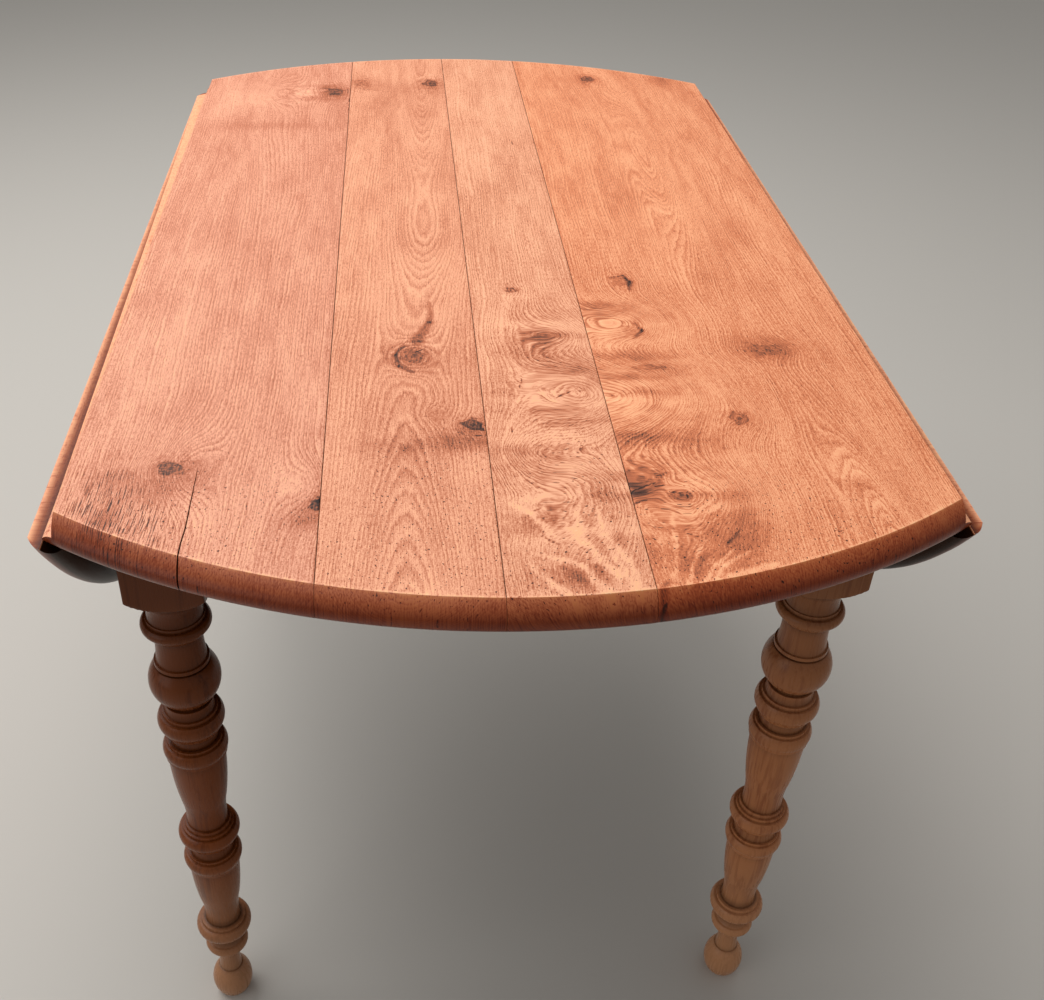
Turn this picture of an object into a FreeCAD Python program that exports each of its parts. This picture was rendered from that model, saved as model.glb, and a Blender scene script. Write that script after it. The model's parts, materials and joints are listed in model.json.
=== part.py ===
import FreeCAD, Part
import Sketcher
import math
import os
from types import SimpleNamespace

# Round drop-leaf table with two rule-jointed leaves that hang from the centre section,
# four turned legs, a tenoned apron frame and pull-out lopers that carry the raised leaves.
# Millimetres. X runs across the table, Y along the hinge lines, Z up from the floor.

SIZES = {
    # whole table
    "table_height": 740,
    "top_diameter": 1180,
    "top_thickness": 26,
    "centre_width": 650,
    # rule joint between centre section and leaf
    "ovolo_radius": 10,
    "joint_clearance": 0.4,
    # boards
    "board_gap": 0.3,
    # legs
    "leg_block": 66,
    "leg_side_inset": 48,
    "leg_end_inset": 212,
    "leg_block_drop": 18,
    # apron frame
    "apron_height": 105,
    "apron_thickness": 24,
    "apron_setback": 8,
    "tenon_thickness": 9,
    "tenon_length": 28,
    "tenon_shoulder": 12,
    "tenon_clearance": 0.1,
    "centre_rail_thickness": 30,
    "centre_rail_height": 60,
    "centre_rail_tenon": 14,
    # oak pegs through the tenons
    "peg_diameter": 8,
    "peg_length": 42,
    "peg_proud": 1,
    "peg_clearance": 0.05,
    # lopers, their guides and stops
    "loper_inset": 175,
    "loper_width": 40,
    "loper_height": 26,
    "loper_end_gap": 44,
    "loper_clearance": 0.3,
    "finger_groove_radius": 6,
    "finger_groove_inset": 18,
    "guide_length": 50,
    "guide_cheek": 18,
    "guide_floor": 12,
    "guide_gap": 23,
    "stop_diameter": 10,
    "stop_inset": 12,
    "stop_drop": 14,
    # hinges
    "hinge_inset": 48,
    "hinge_length": 64,
    "hinge_plate": 2,
    "hinge_frame_reach": 38,
    "hinge_leaf_reach": 74,
    "hinge_knuckle": 8,
    "hinge_pin_diameter": 3.6,
    "hinge_pin_clearance": 0.05,
    "hinge_running_gap": 0.5,
    "hinge_recess_clearance": 0.3,
    # wooden buttons that hold the top down
    "button_length": 36,
    "button_width": 32,
    "button_thickness": 18,
    "button_tongue": 9,
    "button_tongue_thickness": 8,
    "button_slack": 1,
    "end_button_inset": 94,
    "side_button_inset": 65,
    # countersunk wood screws
    "screw_shank": 4,
    "screw_head": 8,
    "screw_head_depth": 1.9,
    "screw_clearance": 0.05,
    "hinge_screw_length": 17,
    "button_screw_length": 32,
    "guide_screw_length": 52,
    # cutting tools run past the faces that they cut by this much
    "overrun": 2,
}

# Seams of the four centre boards, and of the two boards of each leaf, as shares of the widths.
CENTRE_SEAM_SHARES = (0.283, 0.474, 0.627)
LEAF_SEAM_SHARES = {"left": 0.58, "right": 0.15}

# Turned outline of the leg from the floor up: height as a share of the turned height, radius as a
# share of half the block, and the rise of the curve to the next point as a share of its chord,
# positive where it swells and negative where it hollows.
TURNING_SHARES = (
    (0.000, 0.425, 0.175),  # ball foot
    (0.074, 0.395, 0.00),
    (0.079, 0.380, -0.06),  # ankle
    (0.138, 0.400, 0.00),
    (0.143, 0.620, 0.20),   # small flare
    (0.161, 0.580, -0.12),
    (0.183, 0.420, 0.00),
    (0.195, 0.730, 0.22),   # lower ring of the lower column
    (0.221, 0.760, 0.00),
    (0.226, 0.590, 0.00),
    (0.234, 0.520, -0.03),  # lower column
    (0.290, 0.620, 0.02),
    (0.386, 0.770, 0.00),
    (0.391, 0.790, 0.175),  # upper ring of the lower column
    (0.415, 0.790, 0.00),
    (0.421, 0.635, -0.06),
    (0.446, 0.635, 0.00),
    (0.453, 0.820, 0.18),   # lower ring of the upper column
    (0.479, 0.820, -0.10),
    (0.490, 0.665, 0.00),
    (0.501, 0.590, -0.03),  # upper column
    (0.550, 0.660, 0.02),
    (0.656, 0.830, 0.00),
    (0.660, 0.840, 0.14),   # upper ring of the upper column
    (0.687, 0.820, 0.00),
    (0.696, 0.650, 0.00),
    (0.710, 0.640, 0.00),
    (0.718, 0.820, 0.16),   # ring under the ball
    (0.750, 0.850, -0.10),
    (0.765, 0.665, 0.00),
    (0.772, 0.560, 0.00),
    (0.777, 0.600, 0.215),  # ball
    (0.852, 0.740, 0.00),
    (0.860, 0.700, -0.10),  # neck
    (0.912, 0.640, 0.00),
    (0.918, 0.790, 0.30),   # ring under the block
    (0.940, 0.850, 0.00),
    (0.947, 0.790, 0.00),
    (0.966, 0.760, -0.10),  # shoulder that runs out into the square block
    (0.990, 0.900, 0.10),
    (1.010, 1.430, 0.00),
)

SIDES = {"left": -1, "right": 1}
ENDS = {"front": -1, "rear": 1}
HINGE_PLACES = {"front": -1, "middle": 0, "rear": 1}

# Screw places on a hinge plate: share of the plate's reach, share of half its length.
FRAME_SCREW_SHARES = ((0.58, -0.55), (0.58, 0.55))
LEAF_SCREW_SHARES = ((0.45, -0.55), (0.45, 0.55), (0.84, 0.0))
# Frame plates own the two outer knuckles, leaf plates the middle one.
KNUCKLE_SHARE = 1 / 3
# Heights of the pegs on a tenon, and of the guide screws along a guide, as shares.
END_PEG_SHARES = (0.26, 0.68)
SIDE_PEG_SHARES = (0.38, 0.80)
GUIDE_SCREW_SHARE = 0.5
BUTTON_SCREW_SHARE = 0.6
# A quarter circle rises by this share of its chord.
QUARTER_SHARE = (1 - math.cos(math.pi / 4)) / (2 * math.sin(math.pi / 4))


class Dim:
    """A length with its value in millimetres and the formula that gives it from the sheet."""

    def __init__(self, value, text):
        self.value = value
        self.text = text

    def __add__(self, other):
        other = dim(other)
        return Dim(self.value + other.value, "(%s + %s)" % (self.text, other.text))

    def __sub__(self, other):
        other = dim(other)
        return Dim(self.value - other.value, "(%s - %s)" % (self.text, other.text))

    def __mul__(self, other):
        other = dim(other)
        return Dim(self.value * other.value, "(%s * %s)" % (self.text, other.text))

    def __truediv__(self, other):
        other = dim(other)
        return Dim(self.value / other.value, "(%s / %s)" % (self.text, other.text))

    def __neg__(self):
        return Dim(-self.value, "(0 - %s)" % self.text)

    __radd__ = __add__
    __rmul__ = __mul__


def dim(value):
    return value if isinstance(value, Dim) else Dim(float(value), "(%.9f)" % value)


def root(square):
    return Dim(math.sqrt(square.value), "sqrt(%s)" % square.text)


ZERO = dim(0)

doc = FreeCAD.newDocument("DropLeafTable")
sheet = doc.addObject("Spreadsheet::Sheet", "Sizes")
for row, (alias, value) in enumerate(SIZES.items(), start=1):
    sheet.set("A%d" % row, alias)
    sheet.set("B%d" % row, str(value))
    sheet.setAlias("B%d" % row, alias)
doc.recompute()
s = SimpleNamespace(**{alias: Dim(float(sheet.get(alias)), "Sizes." + alias) for alias in SIZES})

nodes = {}


def node(label, obj):
    obj.Label = label
    nodes[label] = obj
    return obj


def place(obj, x=ZERO, y=ZERO, z=ZERO):
    for axis, length in zip("xyz", (x, y, z)):
        obj.setExpression("Placement.Base." + axis, length.text)
    return obj


def block(name, xs, ys, zs):
    obj = doc.addObject("Part::Box", name)
    corner = []
    for prop, ends in zip(("Length", "Width", "Height"), (xs, ys, zs)):
        low, high = sorted(ends, key=lambda end: end.value)
        obj.setExpression(prop, (high - low).text)
        corner.append(low)
    return place(obj, *corner)


TURNS = {
    "z": FreeCAD.Rotation(),
    "y": FreeCAD.Rotation(FreeCAD.Vector(1, 0, 0), -90),
    "x": FreeCAD.Rotation(FreeCAD.Vector(0, 1, 0), 90),
}


def rod(name, radius, length, start, axis="z"):
    obj = doc.addObject("Part::Cylinder", name)
    obj.setExpression("Radius", radius.text)
    obj.setExpression("Height", length.text)
    obj.Placement.Rotation = TURNS[axis]
    return place(obj, *start)


def cone(name, low_radius, high_radius, height, start):
    obj = doc.addObject("Part::Cone", name)
    obj.setExpression("Radius1", low_radius.text)
    obj.setExpression("Radius2", high_radius.text)
    obj.setExpression("Height", height.text)
    return place(obj, *start)


def union(name, shapes):
    obj = doc.addObject("Part::MultiFuse", name)
    obj.Shapes = shapes
    return obj


def group(name, shapes):
    obj = doc.addObject("Part::Compound", name)
    obj.Links = shapes
    return obj


def common(name, base, tool):
    obj = doc.addObject("Part::Common", name)
    obj.Base = base
    obj.Tool = tool
    return obj


def cut(name, base, tools):
    obj = doc.addObject("Part::Cut", name)
    obj.Base = base
    obj.Tool = group(name + "_tools", tools)
    return obj


def outline(name, corners, arcs):
    """Closed sketch in the XZ plane. arcs maps an edge's number to its radius and the side it
    swells to: 1 to the right of the way from its first corner to its second, -1 to the left."""
    sketch = doc.addObject("Sketcher::SketchObject", name)
    sketch.Placement.Rotation = FreeCAD.Rotation(FreeCAD.Vector(1, 0, 0), 90)
    points = [FreeCAD.Vector(x.value, z.value, 0) for x, z in corners]
    count = len(points)
    starts = []
    for edge in range(count):
        first, last = points[edge], points[(edge + 1) % count]
        if edge not in arcs:
            sketch.addGeometry(Part.LineSegment(first, last))
            starts.append((1, 2))
            continue
        radius, side = arcs[edge]
        chord = last - first
        right = FreeCAD.Vector(chord.y, -chord.x, 0).normalize() * side
        inset = math.sqrt(max(radius.value ** 2 - (chord.Length / 2) ** 2, 0))
        crown = (first + last) / 2 + right * (radius.value - inset)
        sketch.addGeometry(Part.Arc(first, crown, last))
        # A sketch arc always runs anticlockwise, so one that swells to the left is held reversed.
        starts.append((1, 2) if side > 0 else (2, 1))
    for edge in range(count):
        nearby = (edge + 1) % count
        sketch.addConstraint(
            Sketcher.Constraint("Coincident", edge, starts[edge][1], nearby, starts[nearby][0]))
    for edge, (x, z) in enumerate(corners):
        for kind, length in (("DistanceX", x), ("DistanceY", z)):
            number = sketch.addConstraint(
                Sketcher.Constraint(kind, -1, 1, edge, starts[edge][0], length.value))
            sketch.setExpression("Constraints[%d]" % number, length.text)
    for edge, (radius, side) in arcs.items():
        number = sketch.addConstraint(Sketcher.Constraint("Radius", edge, radius.value))
        sketch.setExpression("Constraints[%d]" % number, radius.text)
    return sketch


def rise_radius(first, last, rise_share):
    across = last[0] - first[0]
    along = last[1] - first[1]
    chord = root(across * across + along * along)
    return chord * ((1 + 4 * rise_share ** 2) / (8 * abs(rise_share)))


def turned(name, corners, rises):
    """Solid of revolution about Z; rises gives each edge's curve as a share of its chord."""
    arcs = {}
    for edge, rise_share in rises.items():
        radius = rise_radius(corners[edge], corners[edge + 1], rise_share)
        arcs[edge] = (radius, 1 if rise_share > 0 else -1)
    obj = doc.addObject("Part::Revolution", name)
    obj.Source = outline(name + "_outline", corners, arcs)
    obj.Axis = FreeCAD.Vector(0, 0, 1)
    obj.Angle = 360
    obj.Solid = True
    return obj


def strip(name, corners, arcs):
    """Section carried along Y past both ends of the top."""
    obj = doc.addObject("Part::Extrusion", name)
    obj.Base = outline(name + "_section", corners, arcs)
    obj.DirMode = "Custom"
    obj.Dir = FreeCAD.Vector(0, 1, 0)
    obj.setExpression("LengthFwd", (s.top_diameter + s.overrun).text)
    obj.Symmetric = True
    obj.Solid = True
    return obj


# Heights and lines that several pieces share.
top_z = s.table_height
under_z = s.table_height - s.top_thickness
knuckle_radius = s.hinge_knuckle / 2
axis_x = s.centre_width / 2
axis_z = under_z + knuckle_radius
leg_x = axis_x - s.leg_side_inset
leg_y = s.top_diameter / 2 - s.leg_end_inset
half_block = s.leg_block / 2
apron_low = under_z - s.apron_height
turned_height = apron_low - s.leg_block_drop
side_outer = leg_x + half_block - s.apron_setback
side_inner = side_outer - s.apron_thickness
end_outer = leg_y + half_block - s.apron_setback
end_inner = end_outer - s.apron_thickness
block_inner_x = leg_x - half_block
block_inner_y = leg_y - half_block
tenon_low = apron_low + s.tenon_shoulder
tenon_high = under_z - s.tenon_shoulder
tenon_height = tenon_high - tenon_low
shank_radius = s.screw_shank / 2
head_radius = s.screw_head / 2
pin_radius = s.hinge_pin_diameter / 2
half_hinge = s.hinge_length / 2
loper_top = under_z - s.loper_clearance
loper_low = loper_top - s.loper_height
loper_inner = s.loper_end_gap / 2
guide_outer = side_inner - s.guide_gap
guide_inner = guide_outer - s.guide_length
loper_y = block_inner_y - s.loper_inset


def screw(name, x, y, z, length):
    """Countersunk screw driven upwards: head face at z, point at z + length."""
    head = cone(name + "_head", head_radius, shank_radius, s.screw_head_depth, (x, y, z))
    shank = rod(name + "_shank", shank_radius, length, (x, y, z))
    return union(name, [head, shank])


def screw_hole(name, x, y, z, length):
    """Room for a screw: a countersink and a pilot hole just wider than the screw."""
    slack = s.screw_clearance
    low = z - s.overrun
    head = cone(name + "_sink", head_radius + slack, shank_radius + slack, s.screw_head_depth, (x, y, z))
    mouth = rod(name + "_mouth", head_radius + slack, s.overrun, (x, y, low))
    pilot = rod(name + "_pilot", shank_radius + slack, length + s.overrun + slack, (x, y, low))
    return union(name, [head, mouth, pilot])


# Hinge places and screw places, in the raised pose of the leaves.

def hinge_y(place_sign):
    return (leg_y - s.hinge_inset) * place_sign


def hinge_screw_places(side, reach, shares, outward):
    for place_sign in HINGE_PLACES.values():
        for reach_share, length_share in shares:
            x = (axis_x + reach * (reach_share * outward)) * SIDES[side]
            yield x, hinge_y(place_sign) + half_hinge * length_share


def button_places():
    """Inner apron face, direction away from it and place along it, for each button."""
    for sign in (-1, 1):
        for along in (-1, 1):
            yield "y", sign, (block_inner_x - s.end_button_inset) * along
            yield "x", sign, (block_inner_y - s.side_button_inset) * along


def button_screw_places():
    reach = s.button_length * BUTTON_SCREW_SHARE
    for face, sign, along in button_places():
        if face == "y":
            yield along, (end_inner - reach) * sign
        else:
            yield (side_inner - reach) * sign, along


def guide_screw_places():
    x = guide_inner + s.guide_length * GUIDE_SCREW_SHARE
    offset = s.loper_width / 2 + s.loper_clearance + s.guide_cheek / 2
    for side in SIDES.values():
        for end in ENDS.values():
            for cheek in (-1, 1):
                yield x * side, loper_y * end + offset * cheek


button_low = under_z - s.button_thickness
guide_low = loper_low - s.loper_clearance - s.guide_floor


# Round top with a half-round nose, before it is divided into boards and leaves.

def round_top():
    nose = s.top_thickness / 2
    flat = s.top_diameter / 2 - nose
    corners = [(ZERO, under_z), (flat, under_z), (s.top_diameter / 2, under_z + nose), (flat, top_z),
               (ZERO, top_z)]
    return turned("round_top", corners, {1: QUARTER_SHARE, 2: QUARTER_SHARE})


top_form = round_top()


def hinge_room_in_top(side):
    """Recess for each frame plate, groove for the knuckles and way for the leaf plate to swing."""
    sign = SIDES[side]
    rooms = []
    knuckle_room = knuckle_radius + s.hinge_running_gap
    for place_name, place_sign in HINGE_PLACES.items():
        name = "%s_%s_hinge" % (side, place_name)
        half = half_hinge + s.hinge_recess_clearance
        ys = (hinge_y(place_sign) - half, hinge_y(place_sign) + half)
        plate = ((axis_x - s.hinge_frame_reach - s.hinge_recess_clearance) * sign, axis_x * sign)
        swing = ((axis_x - knuckle_room) * sign, (axis_x + s.ovolo_radius + s.overrun) * sign)
        rooms.append(block(name + "_recess", plate, ys, (under_z - s.overrun, under_z + s.hinge_plate)))
        rooms.append(block(name + "_swing", swing, ys, (under_z - s.overrun, axis_z)))
        rooms.append(rod(name + "_groove", knuckle_room, half * 2, (axis_x * sign, ys[0], axis_z), "y"))
    return rooms


def screw_rooms(name, places, z, length):
    return [screw_hole("%s_%d" % (name, count), x, y, z, length) for count, (x, y) in enumerate(places)]


def rule_edge_of_top(sign):
    """Corners of the ovolo and fillet edge, from the underside up."""
    reach = root(s.ovolo_radius * s.ovolo_radius - knuckle_radius * knuckle_radius)
    return [((axis_x + reach) * sign, under_z), (axis_x * sign, axis_z + s.ovolo_radius),
            (axis_x * sign, top_z)]


def centre_boards():
    names = ("top_board_left", "top_board_mid_left", "top_board_mid_right", "top_board_right")
    seams = [s.centre_width * (share - 0.5) for share in CENTRE_SEAM_SHARES]
    half_gap = s.board_gap / 2
    button_holes = screw_rooms("button_room", button_screw_places(), button_low, s.button_screw_length)
    guide_holes = screw_rooms("guide_room", guide_screw_places(), guide_low, s.guide_screw_length)
    for count, name in enumerate(names):
        arcs = {}
        if count == 0:
            low = list(reversed(rule_edge_of_top(-1)))
            arcs[1] = (s.ovolo_radius, 1)
        else:
            low = [(seams[count - 1] + half_gap, top_z), (seams[count - 1] + half_gap, under_z)]
        if count == len(seams):
            high = rule_edge_of_top(1)
            arcs[len(low)] = (s.ovolo_radius, 1)
        else:
            high = [(seams[count] - half_gap, under_z), (seams[count] - half_gap, top_z)]
        board = common(name + "_form", top_form, strip(name + "_strip", low + high, arcs))
        rooms = list(button_holes) + list(guide_holes)
        side = {0: "left", len(seams): "right"}.get(count)
        if side:
            rooms += hinge_room_in_top(side)
            places = hinge_screw_places(side, s.hinge_frame_reach, FRAME_SCREW_SHARES, -1)
            rooms += screw_rooms(side + "_frame_screw_room", places, under_z, s.hinge_screw_length)
        node(name, cut(name, board, rooms))


centre_boards()


# Leaves, modelled raised and then hung from the hinge axis.

def hang(obj, side):
    sign = SIDES[side]
    obj.Placement.Rotation = FreeCAD.Rotation(FreeCAD.Vector(0, 1, 0), 90 * sign)
    return place(obj, (axis_x - axis_z) * sign, ZERO, axis_z + axis_x)


def leaf_boards(side):
    sign = SIDES[side]
    cove = s.ovolo_radius + s.joint_clearance
    foot = axis_x + root(cove * cove - knuckle_radius * knuckle_radius)
    lip = axis_x + s.joint_clearance
    lip_low = axis_z + root(cove * cove - s.joint_clearance * s.joint_clearance)
    rim = s.top_diameter / 2 + s.overrun
    seam = axis_x + (s.top_diameter / 2 - axis_x) * LEAF_SEAM_SHARES[side]
    half_gap = s.board_gap / 2
    inner = [(foot * sign, under_z), ((seam - half_gap) * sign, under_z), ((seam - half_gap) * sign, top_z),
             (lip * sign, top_z), (lip * sign, lip_low)]
    outer = [((seam + half_gap) * sign, under_z), (rim * sign, under_z), (rim * sign, top_z),
             ((seam + half_gap) * sign, top_z)]
    sections = {"inner": (inner, {4: (cove, -sign)}), "outer": (outer, {})}
    for part, (corners, arcs) in sections.items():
        name = "%s_leaf_%s_board" % (side, part)
        board = common(name + "_form", top_form, strip(name + "_strip", corners, arcs))
        rooms = []
        for place_name, place_sign in HINGE_PLACES.items():
            half = half_hinge + s.hinge_recess_clearance
            reach = axis_x + s.hinge_leaf_reach + s.hinge_recess_clearance
            rooms.append(block("%s_%s_recess" % (name, place_name), (axis_x * sign, reach * sign),
                               (hinge_y(place_sign) - half, hinge_y(place_sign) + half),
                               (under_z - s.overrun, under_z + s.hinge_plate)))
        places = hinge_screw_places(side, s.hinge_leaf_reach, LEAF_SCREW_SHARES, 1)
        rooms += screw_rooms(name + "_screw_room", places, under_z, s.hinge_screw_length)
        hang(node(name, cut(name, board, rooms)), side)


def hinge(side, place_name):
    """Back-flap hinge of a rule joint: two plates that share a pin on the joint's axis."""
    sign = SIDES[side]
    middle = hinge_y(HINGE_PLACES[place_name])
    name = "%s_%s_hinge" % (side, place_name)
    ys = (middle - half_hinge, middle + half_hinge)
    zs = (under_z, under_z + s.hinge_plate)
    clear = knuckle_radius + s.hinge_running_gap
    third = s.hinge_length * KNUCKLE_SHARE
    half_gap = s.hinge_running_gap / 2
    outer_knuckles = [(ys[0], ys[0] + third - half_gap), (ys[1] - third + half_gap, ys[1])]
    middle_knuckle = [(ys[0] + third + half_gap, ys[1] - third - half_gap)]
    plates = {
        "frame_plate": (-1, s.hinge_frame_reach, outer_knuckles, FRAME_SCREW_SHARES),
        "leaf_plate": (1, s.hinge_leaf_reach, middle_knuckle, LEAF_SCREW_SHARES),
    }
    for part, (outward, reach, knuckles, shares) in plates.items():
        label = "%s_%s" % (name, part)
        flap_xs = ((axis_x + clear * outward) * sign, (axis_x + reach * outward) * sign)
        solids = [block(label + "_flap", flap_xs, ys, zs)]
        for count, (low, high) in enumerate(knuckles):
            web_xs = (axis_x * sign, flap_xs[0])
            solids.append(block("%s_web_%d" % (label, count), web_xs, (low, high), zs))
            start = (axis_x * sign, low, axis_z)
            solids.append(rod("%s_knuckle_%d" % (label, count), knuckle_radius, high - low, start, "y"))
        bore_start = (axis_x * sign, ys[0] - s.overrun, axis_z)
        bore_length = s.hinge_length + s.overrun * 2
        rooms = [rod(label + "_bore", pin_radius + s.hinge_pin_clearance, bore_length, bore_start, "y")]
        for count, (reach_share, length_share) in enumerate(shares):
            x = (axis_x + reach * (reach_share * outward)) * sign
            y = middle + half_hinge * length_share
            rooms.append(screw_hole("%s_screw_%d" % (label, count), x, y, under_z, s.hinge_screw_length))
        plate = node(label, cut(label, union(label + "_form", solids), rooms))
        if outward > 0:
            hang(plate, side)
    node(name + "_pin", rod(name + "_pin", pin_radius, s.hinge_length, (axis_x * sign, ys[0], axis_z), "y"))


def hinge_screws(side):
    frame_places = hinge_screw_places(side, s.hinge_frame_reach, FRAME_SCREW_SHARES, -1)
    leaf_places = hinge_screw_places(side, s.hinge_leaf_reach, LEAF_SCREW_SHARES, 1)
    sets = {side + "_frame_hinge_screws": frame_places, side + "_leaf_hinge_screws": leaf_places}
    for label, places in sets.items():
        screws = [screw("%s_%d" % (label, count), x, y, under_z, s.hinge_screw_length)
                  for count, (x, y) in enumerate(places)]
        node(label, group(label, screws))
    hang(nodes[side + "_leaf_hinge_screws"], side)


for side_name in SIDES:
    leaf_boards(side_name)
    for hinge_place in HINGE_PLACES:
        hinge(side_name, hinge_place)
    hinge_screws(side_name)


# Legs: turned from a square stick, with mortises for the two aprons that meet in the block.

def turned_leg():
    corners = [(half_block * radius_share, turned_height * height_share)
               for height_share, radius_share, rise_share in TURNING_SHARES]
    rises = {edge: point[2] for edge, point in enumerate(TURNING_SHARES) if point[2]}
    corners.append((corners[-1][0], under_z))
    corners.append((ZERO, under_z))
    corners.append((ZERO, ZERO))
    round_stick = turned("turned_stick", corners, rises)
    square = (-half_block, half_block)
    square_stick = block("square_stick", square, square, (ZERO, under_z))
    return common("leg_form", round_stick, square_stick)


def end_peg_places():
    """Pegs through the tenons of the end aprons, driven along Y."""
    for height_share in END_PEG_SHARES:
        yield block_inner_x + s.tenon_length / 2, tenon_low + tenon_height * height_share


def side_peg_places():
    """Pegs through the tenons of the side aprons, driven along X."""
    for height_share in SIDE_PEG_SHARES:
        yield block_inner_y + s.tenon_length / 2, tenon_low + tenon_height * height_share


def peg_rods(name, side, end, slack):
    """Pegs of one leg, from outside the block inwards, or the room for them with some slack."""
    rods = []
    radius = s.peg_diameter / 2 + slack
    length = s.peg_length + slack
    outer_y = leg_y + half_block + s.peg_proud
    outer_x = leg_x + half_block + s.peg_proud
    for count, (x, z) in enumerate(end_peg_places()):
        start = outer_y if end < 0 else outer_y - length
        y = start * end
        rods.append(rod("%s_end_%d" % (name, count), radius, length, (x * side, y, z), "y"))
    for count, (y, z) in enumerate(side_peg_places()):
        start = outer_x if side < 0 else outer_x - length
        x = start * side
        rods.append(rod("%s_side_%d" % (name, count), radius, length, (x, y * end, z), "x"))
    return rods


def tenon_room(name, side, end):
    """Mortises of one leg, open to the block's inner faces."""
    slack = s.tenon_clearance
    half_tenon = s.tenon_thickness / 2 + slack
    side_middle = side_outer - s.apron_thickness / 2
    end_middle = end_outer - s.apron_thickness / 2
    zs = (tenon_low - slack, tenon_high + slack)
    end_xs = ((block_inner_x - s.overrun) * side, (block_inner_x + s.tenon_length + slack) * side)
    end_ys = ((end_middle - half_tenon) * end, (end_middle + half_tenon) * end)
    side_xs = ((side_middle - half_tenon) * side, (side_middle + half_tenon) * side)
    side_ys = ((block_inner_y - s.overrun) * end, (block_inner_y + s.tenon_length + slack) * end)
    end_mortise = block(name + "_end_mortise", end_xs, end_ys, zs)
    side_mortise = block(name + "_side_mortise", side_xs, side_ys, zs)
    return [end_mortise, side_mortise]


leg_form = turned_leg()
all_pegs = []
all_peg_rooms = []
for end_name, end_sign in ENDS.items():
    for side_name, side_sign in SIDES.items():
        leg_name = "%s_%s_leg" % (end_name, side_name)
        stick = group(leg_name + "_stick", [leg_form])
        place(stick, leg_x * side_sign, leg_y * end_sign, ZERO)
        peg_room = peg_rods(leg_name + "_peg_room", side_sign, end_sign, s.peg_clearance)
        all_peg_rooms += peg_room
        all_pegs += peg_rods(leg_name + "_peg", side_sign, end_sign, ZERO)
        node(leg_name, cut(leg_name, stick, tenon_room(leg_name, side_sign, end_sign) + peg_room))
node("tenon_pegs", group("tenon_pegs", all_pegs))


# Apron frame.

def button_mortises():
    """Slots in the apron faces for the tongues of the buttons."""
    half = s.button_width / 2 + s.button_slack
    depth = s.button_tongue + s.button_slack
    zs = (button_low - s.joint_clearance, button_low + s.button_tongue_thickness + s.button_slack)
    slots = []
    for count, (face, sign, along) in enumerate(button_places()):
        inner = end_inner if face == "y" else side_inner
        across = ((inner - s.overrun) * sign, (inner + depth) * sign)
        length = (along - half, along + half)
        xs, ys = (length, across) if face == "y" else (across, length)
        slots.append(block("button_mortise_%d" % count, xs, ys, zs))
    return slots


button_slots = button_mortises()


def end_apron(end_name):
    end = ENDS[end_name]
    name = end_name + "_apron"
    half_tenon = s.tenon_thickness / 2
    middle = end_outer - s.apron_thickness / 2
    board = block(name + "_board", (-block_inner_x, block_inner_x), (end_inner * end, end_outer * end),
                  (apron_low, under_z))
    reach = block_inner_x + s.tenon_length
    tenon_ys = ((middle - half_tenon) * end, (middle + half_tenon) * end)
    tenons = block(name + "_tenons", (-reach, reach), tenon_ys, (tenon_low, tenon_high))
    node(name, cut(name, union(name + "_form", [board, tenons]), button_slots + all_peg_rooms))


def side_apron(side_name):
    side = SIDES[side_name]
    name = side_name + "_apron"
    half_tenon = s.tenon_thickness / 2
    middle = side_outer - s.apron_thickness / 2
    board = block(name + "_board", (side_inner * side, side_outer * side), (-block_inner_y, block_inner_y),
                  (apron_low, under_z))
    reach = block_inner_y + s.tenon_length
    tenon_xs = ((middle - half_tenon) * side, (middle + half_tenon) * side)
    tenons = block(name + "_tenons", tenon_xs, (-reach, reach), (tenon_low, tenon_high))
    rooms = button_slots + all_peg_rooms
    half_slot = s.loper_width / 2 + s.loper_clearance
    slot_xs = ((side_inner - s.overrun) * side, (side_outer + s.overrun) * side)
    for end_name, end in ENDS.items():
        slot_ys = (loper_y * end - half_slot, loper_y * end + half_slot)
        rooms.append(block("%s_%s_slot" % (name, end_name), slot_xs, slot_ys,
                           (loper_low - s.loper_clearance, under_z + s.overrun)))
    slack = s.tenon_clearance
    half_rail = s.centre_rail_thickness / 2 - s.tenon_shoulder / 2 + slack
    rail_xs = ((side_inner - s.overrun) * side, (side_inner + s.centre_rail_tenon + slack) * side)
    rail_low = under_z - s.centre_rail_height
    rooms.append(block(name + "_rail_mortise", rail_xs, (-half_rail, half_rail),
                       (rail_low - slack, under_z - s.tenon_shoulder + slack)))
    node(name, cut(name, union(name + "_form", [board, tenons]), rooms))


def centre_rail():
    name = "centre_rail"
    low = under_z - s.centre_rail_height
    half = s.centre_rail_thickness / 2
    half_tenon = half - s.tenon_shoulder / 2
    reach = side_inner + s.centre_rail_tenon
    rail = block(name + "_board", (-side_inner, side_inner), (-half, half), (low, under_z))
    tenons = block(name + "_tenons", (-reach, reach), (-half_tenon, half_tenon),
                   (low, under_z - s.tenon_shoulder))
    node(name, union(name, [rail, tenons]))


for end_name in ENDS:
    end_apron(end_name)
for side_name in SIDES:
    side_apron(side_name)
centre_rail()


# Lopers with their stop pegs and guides.

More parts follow.
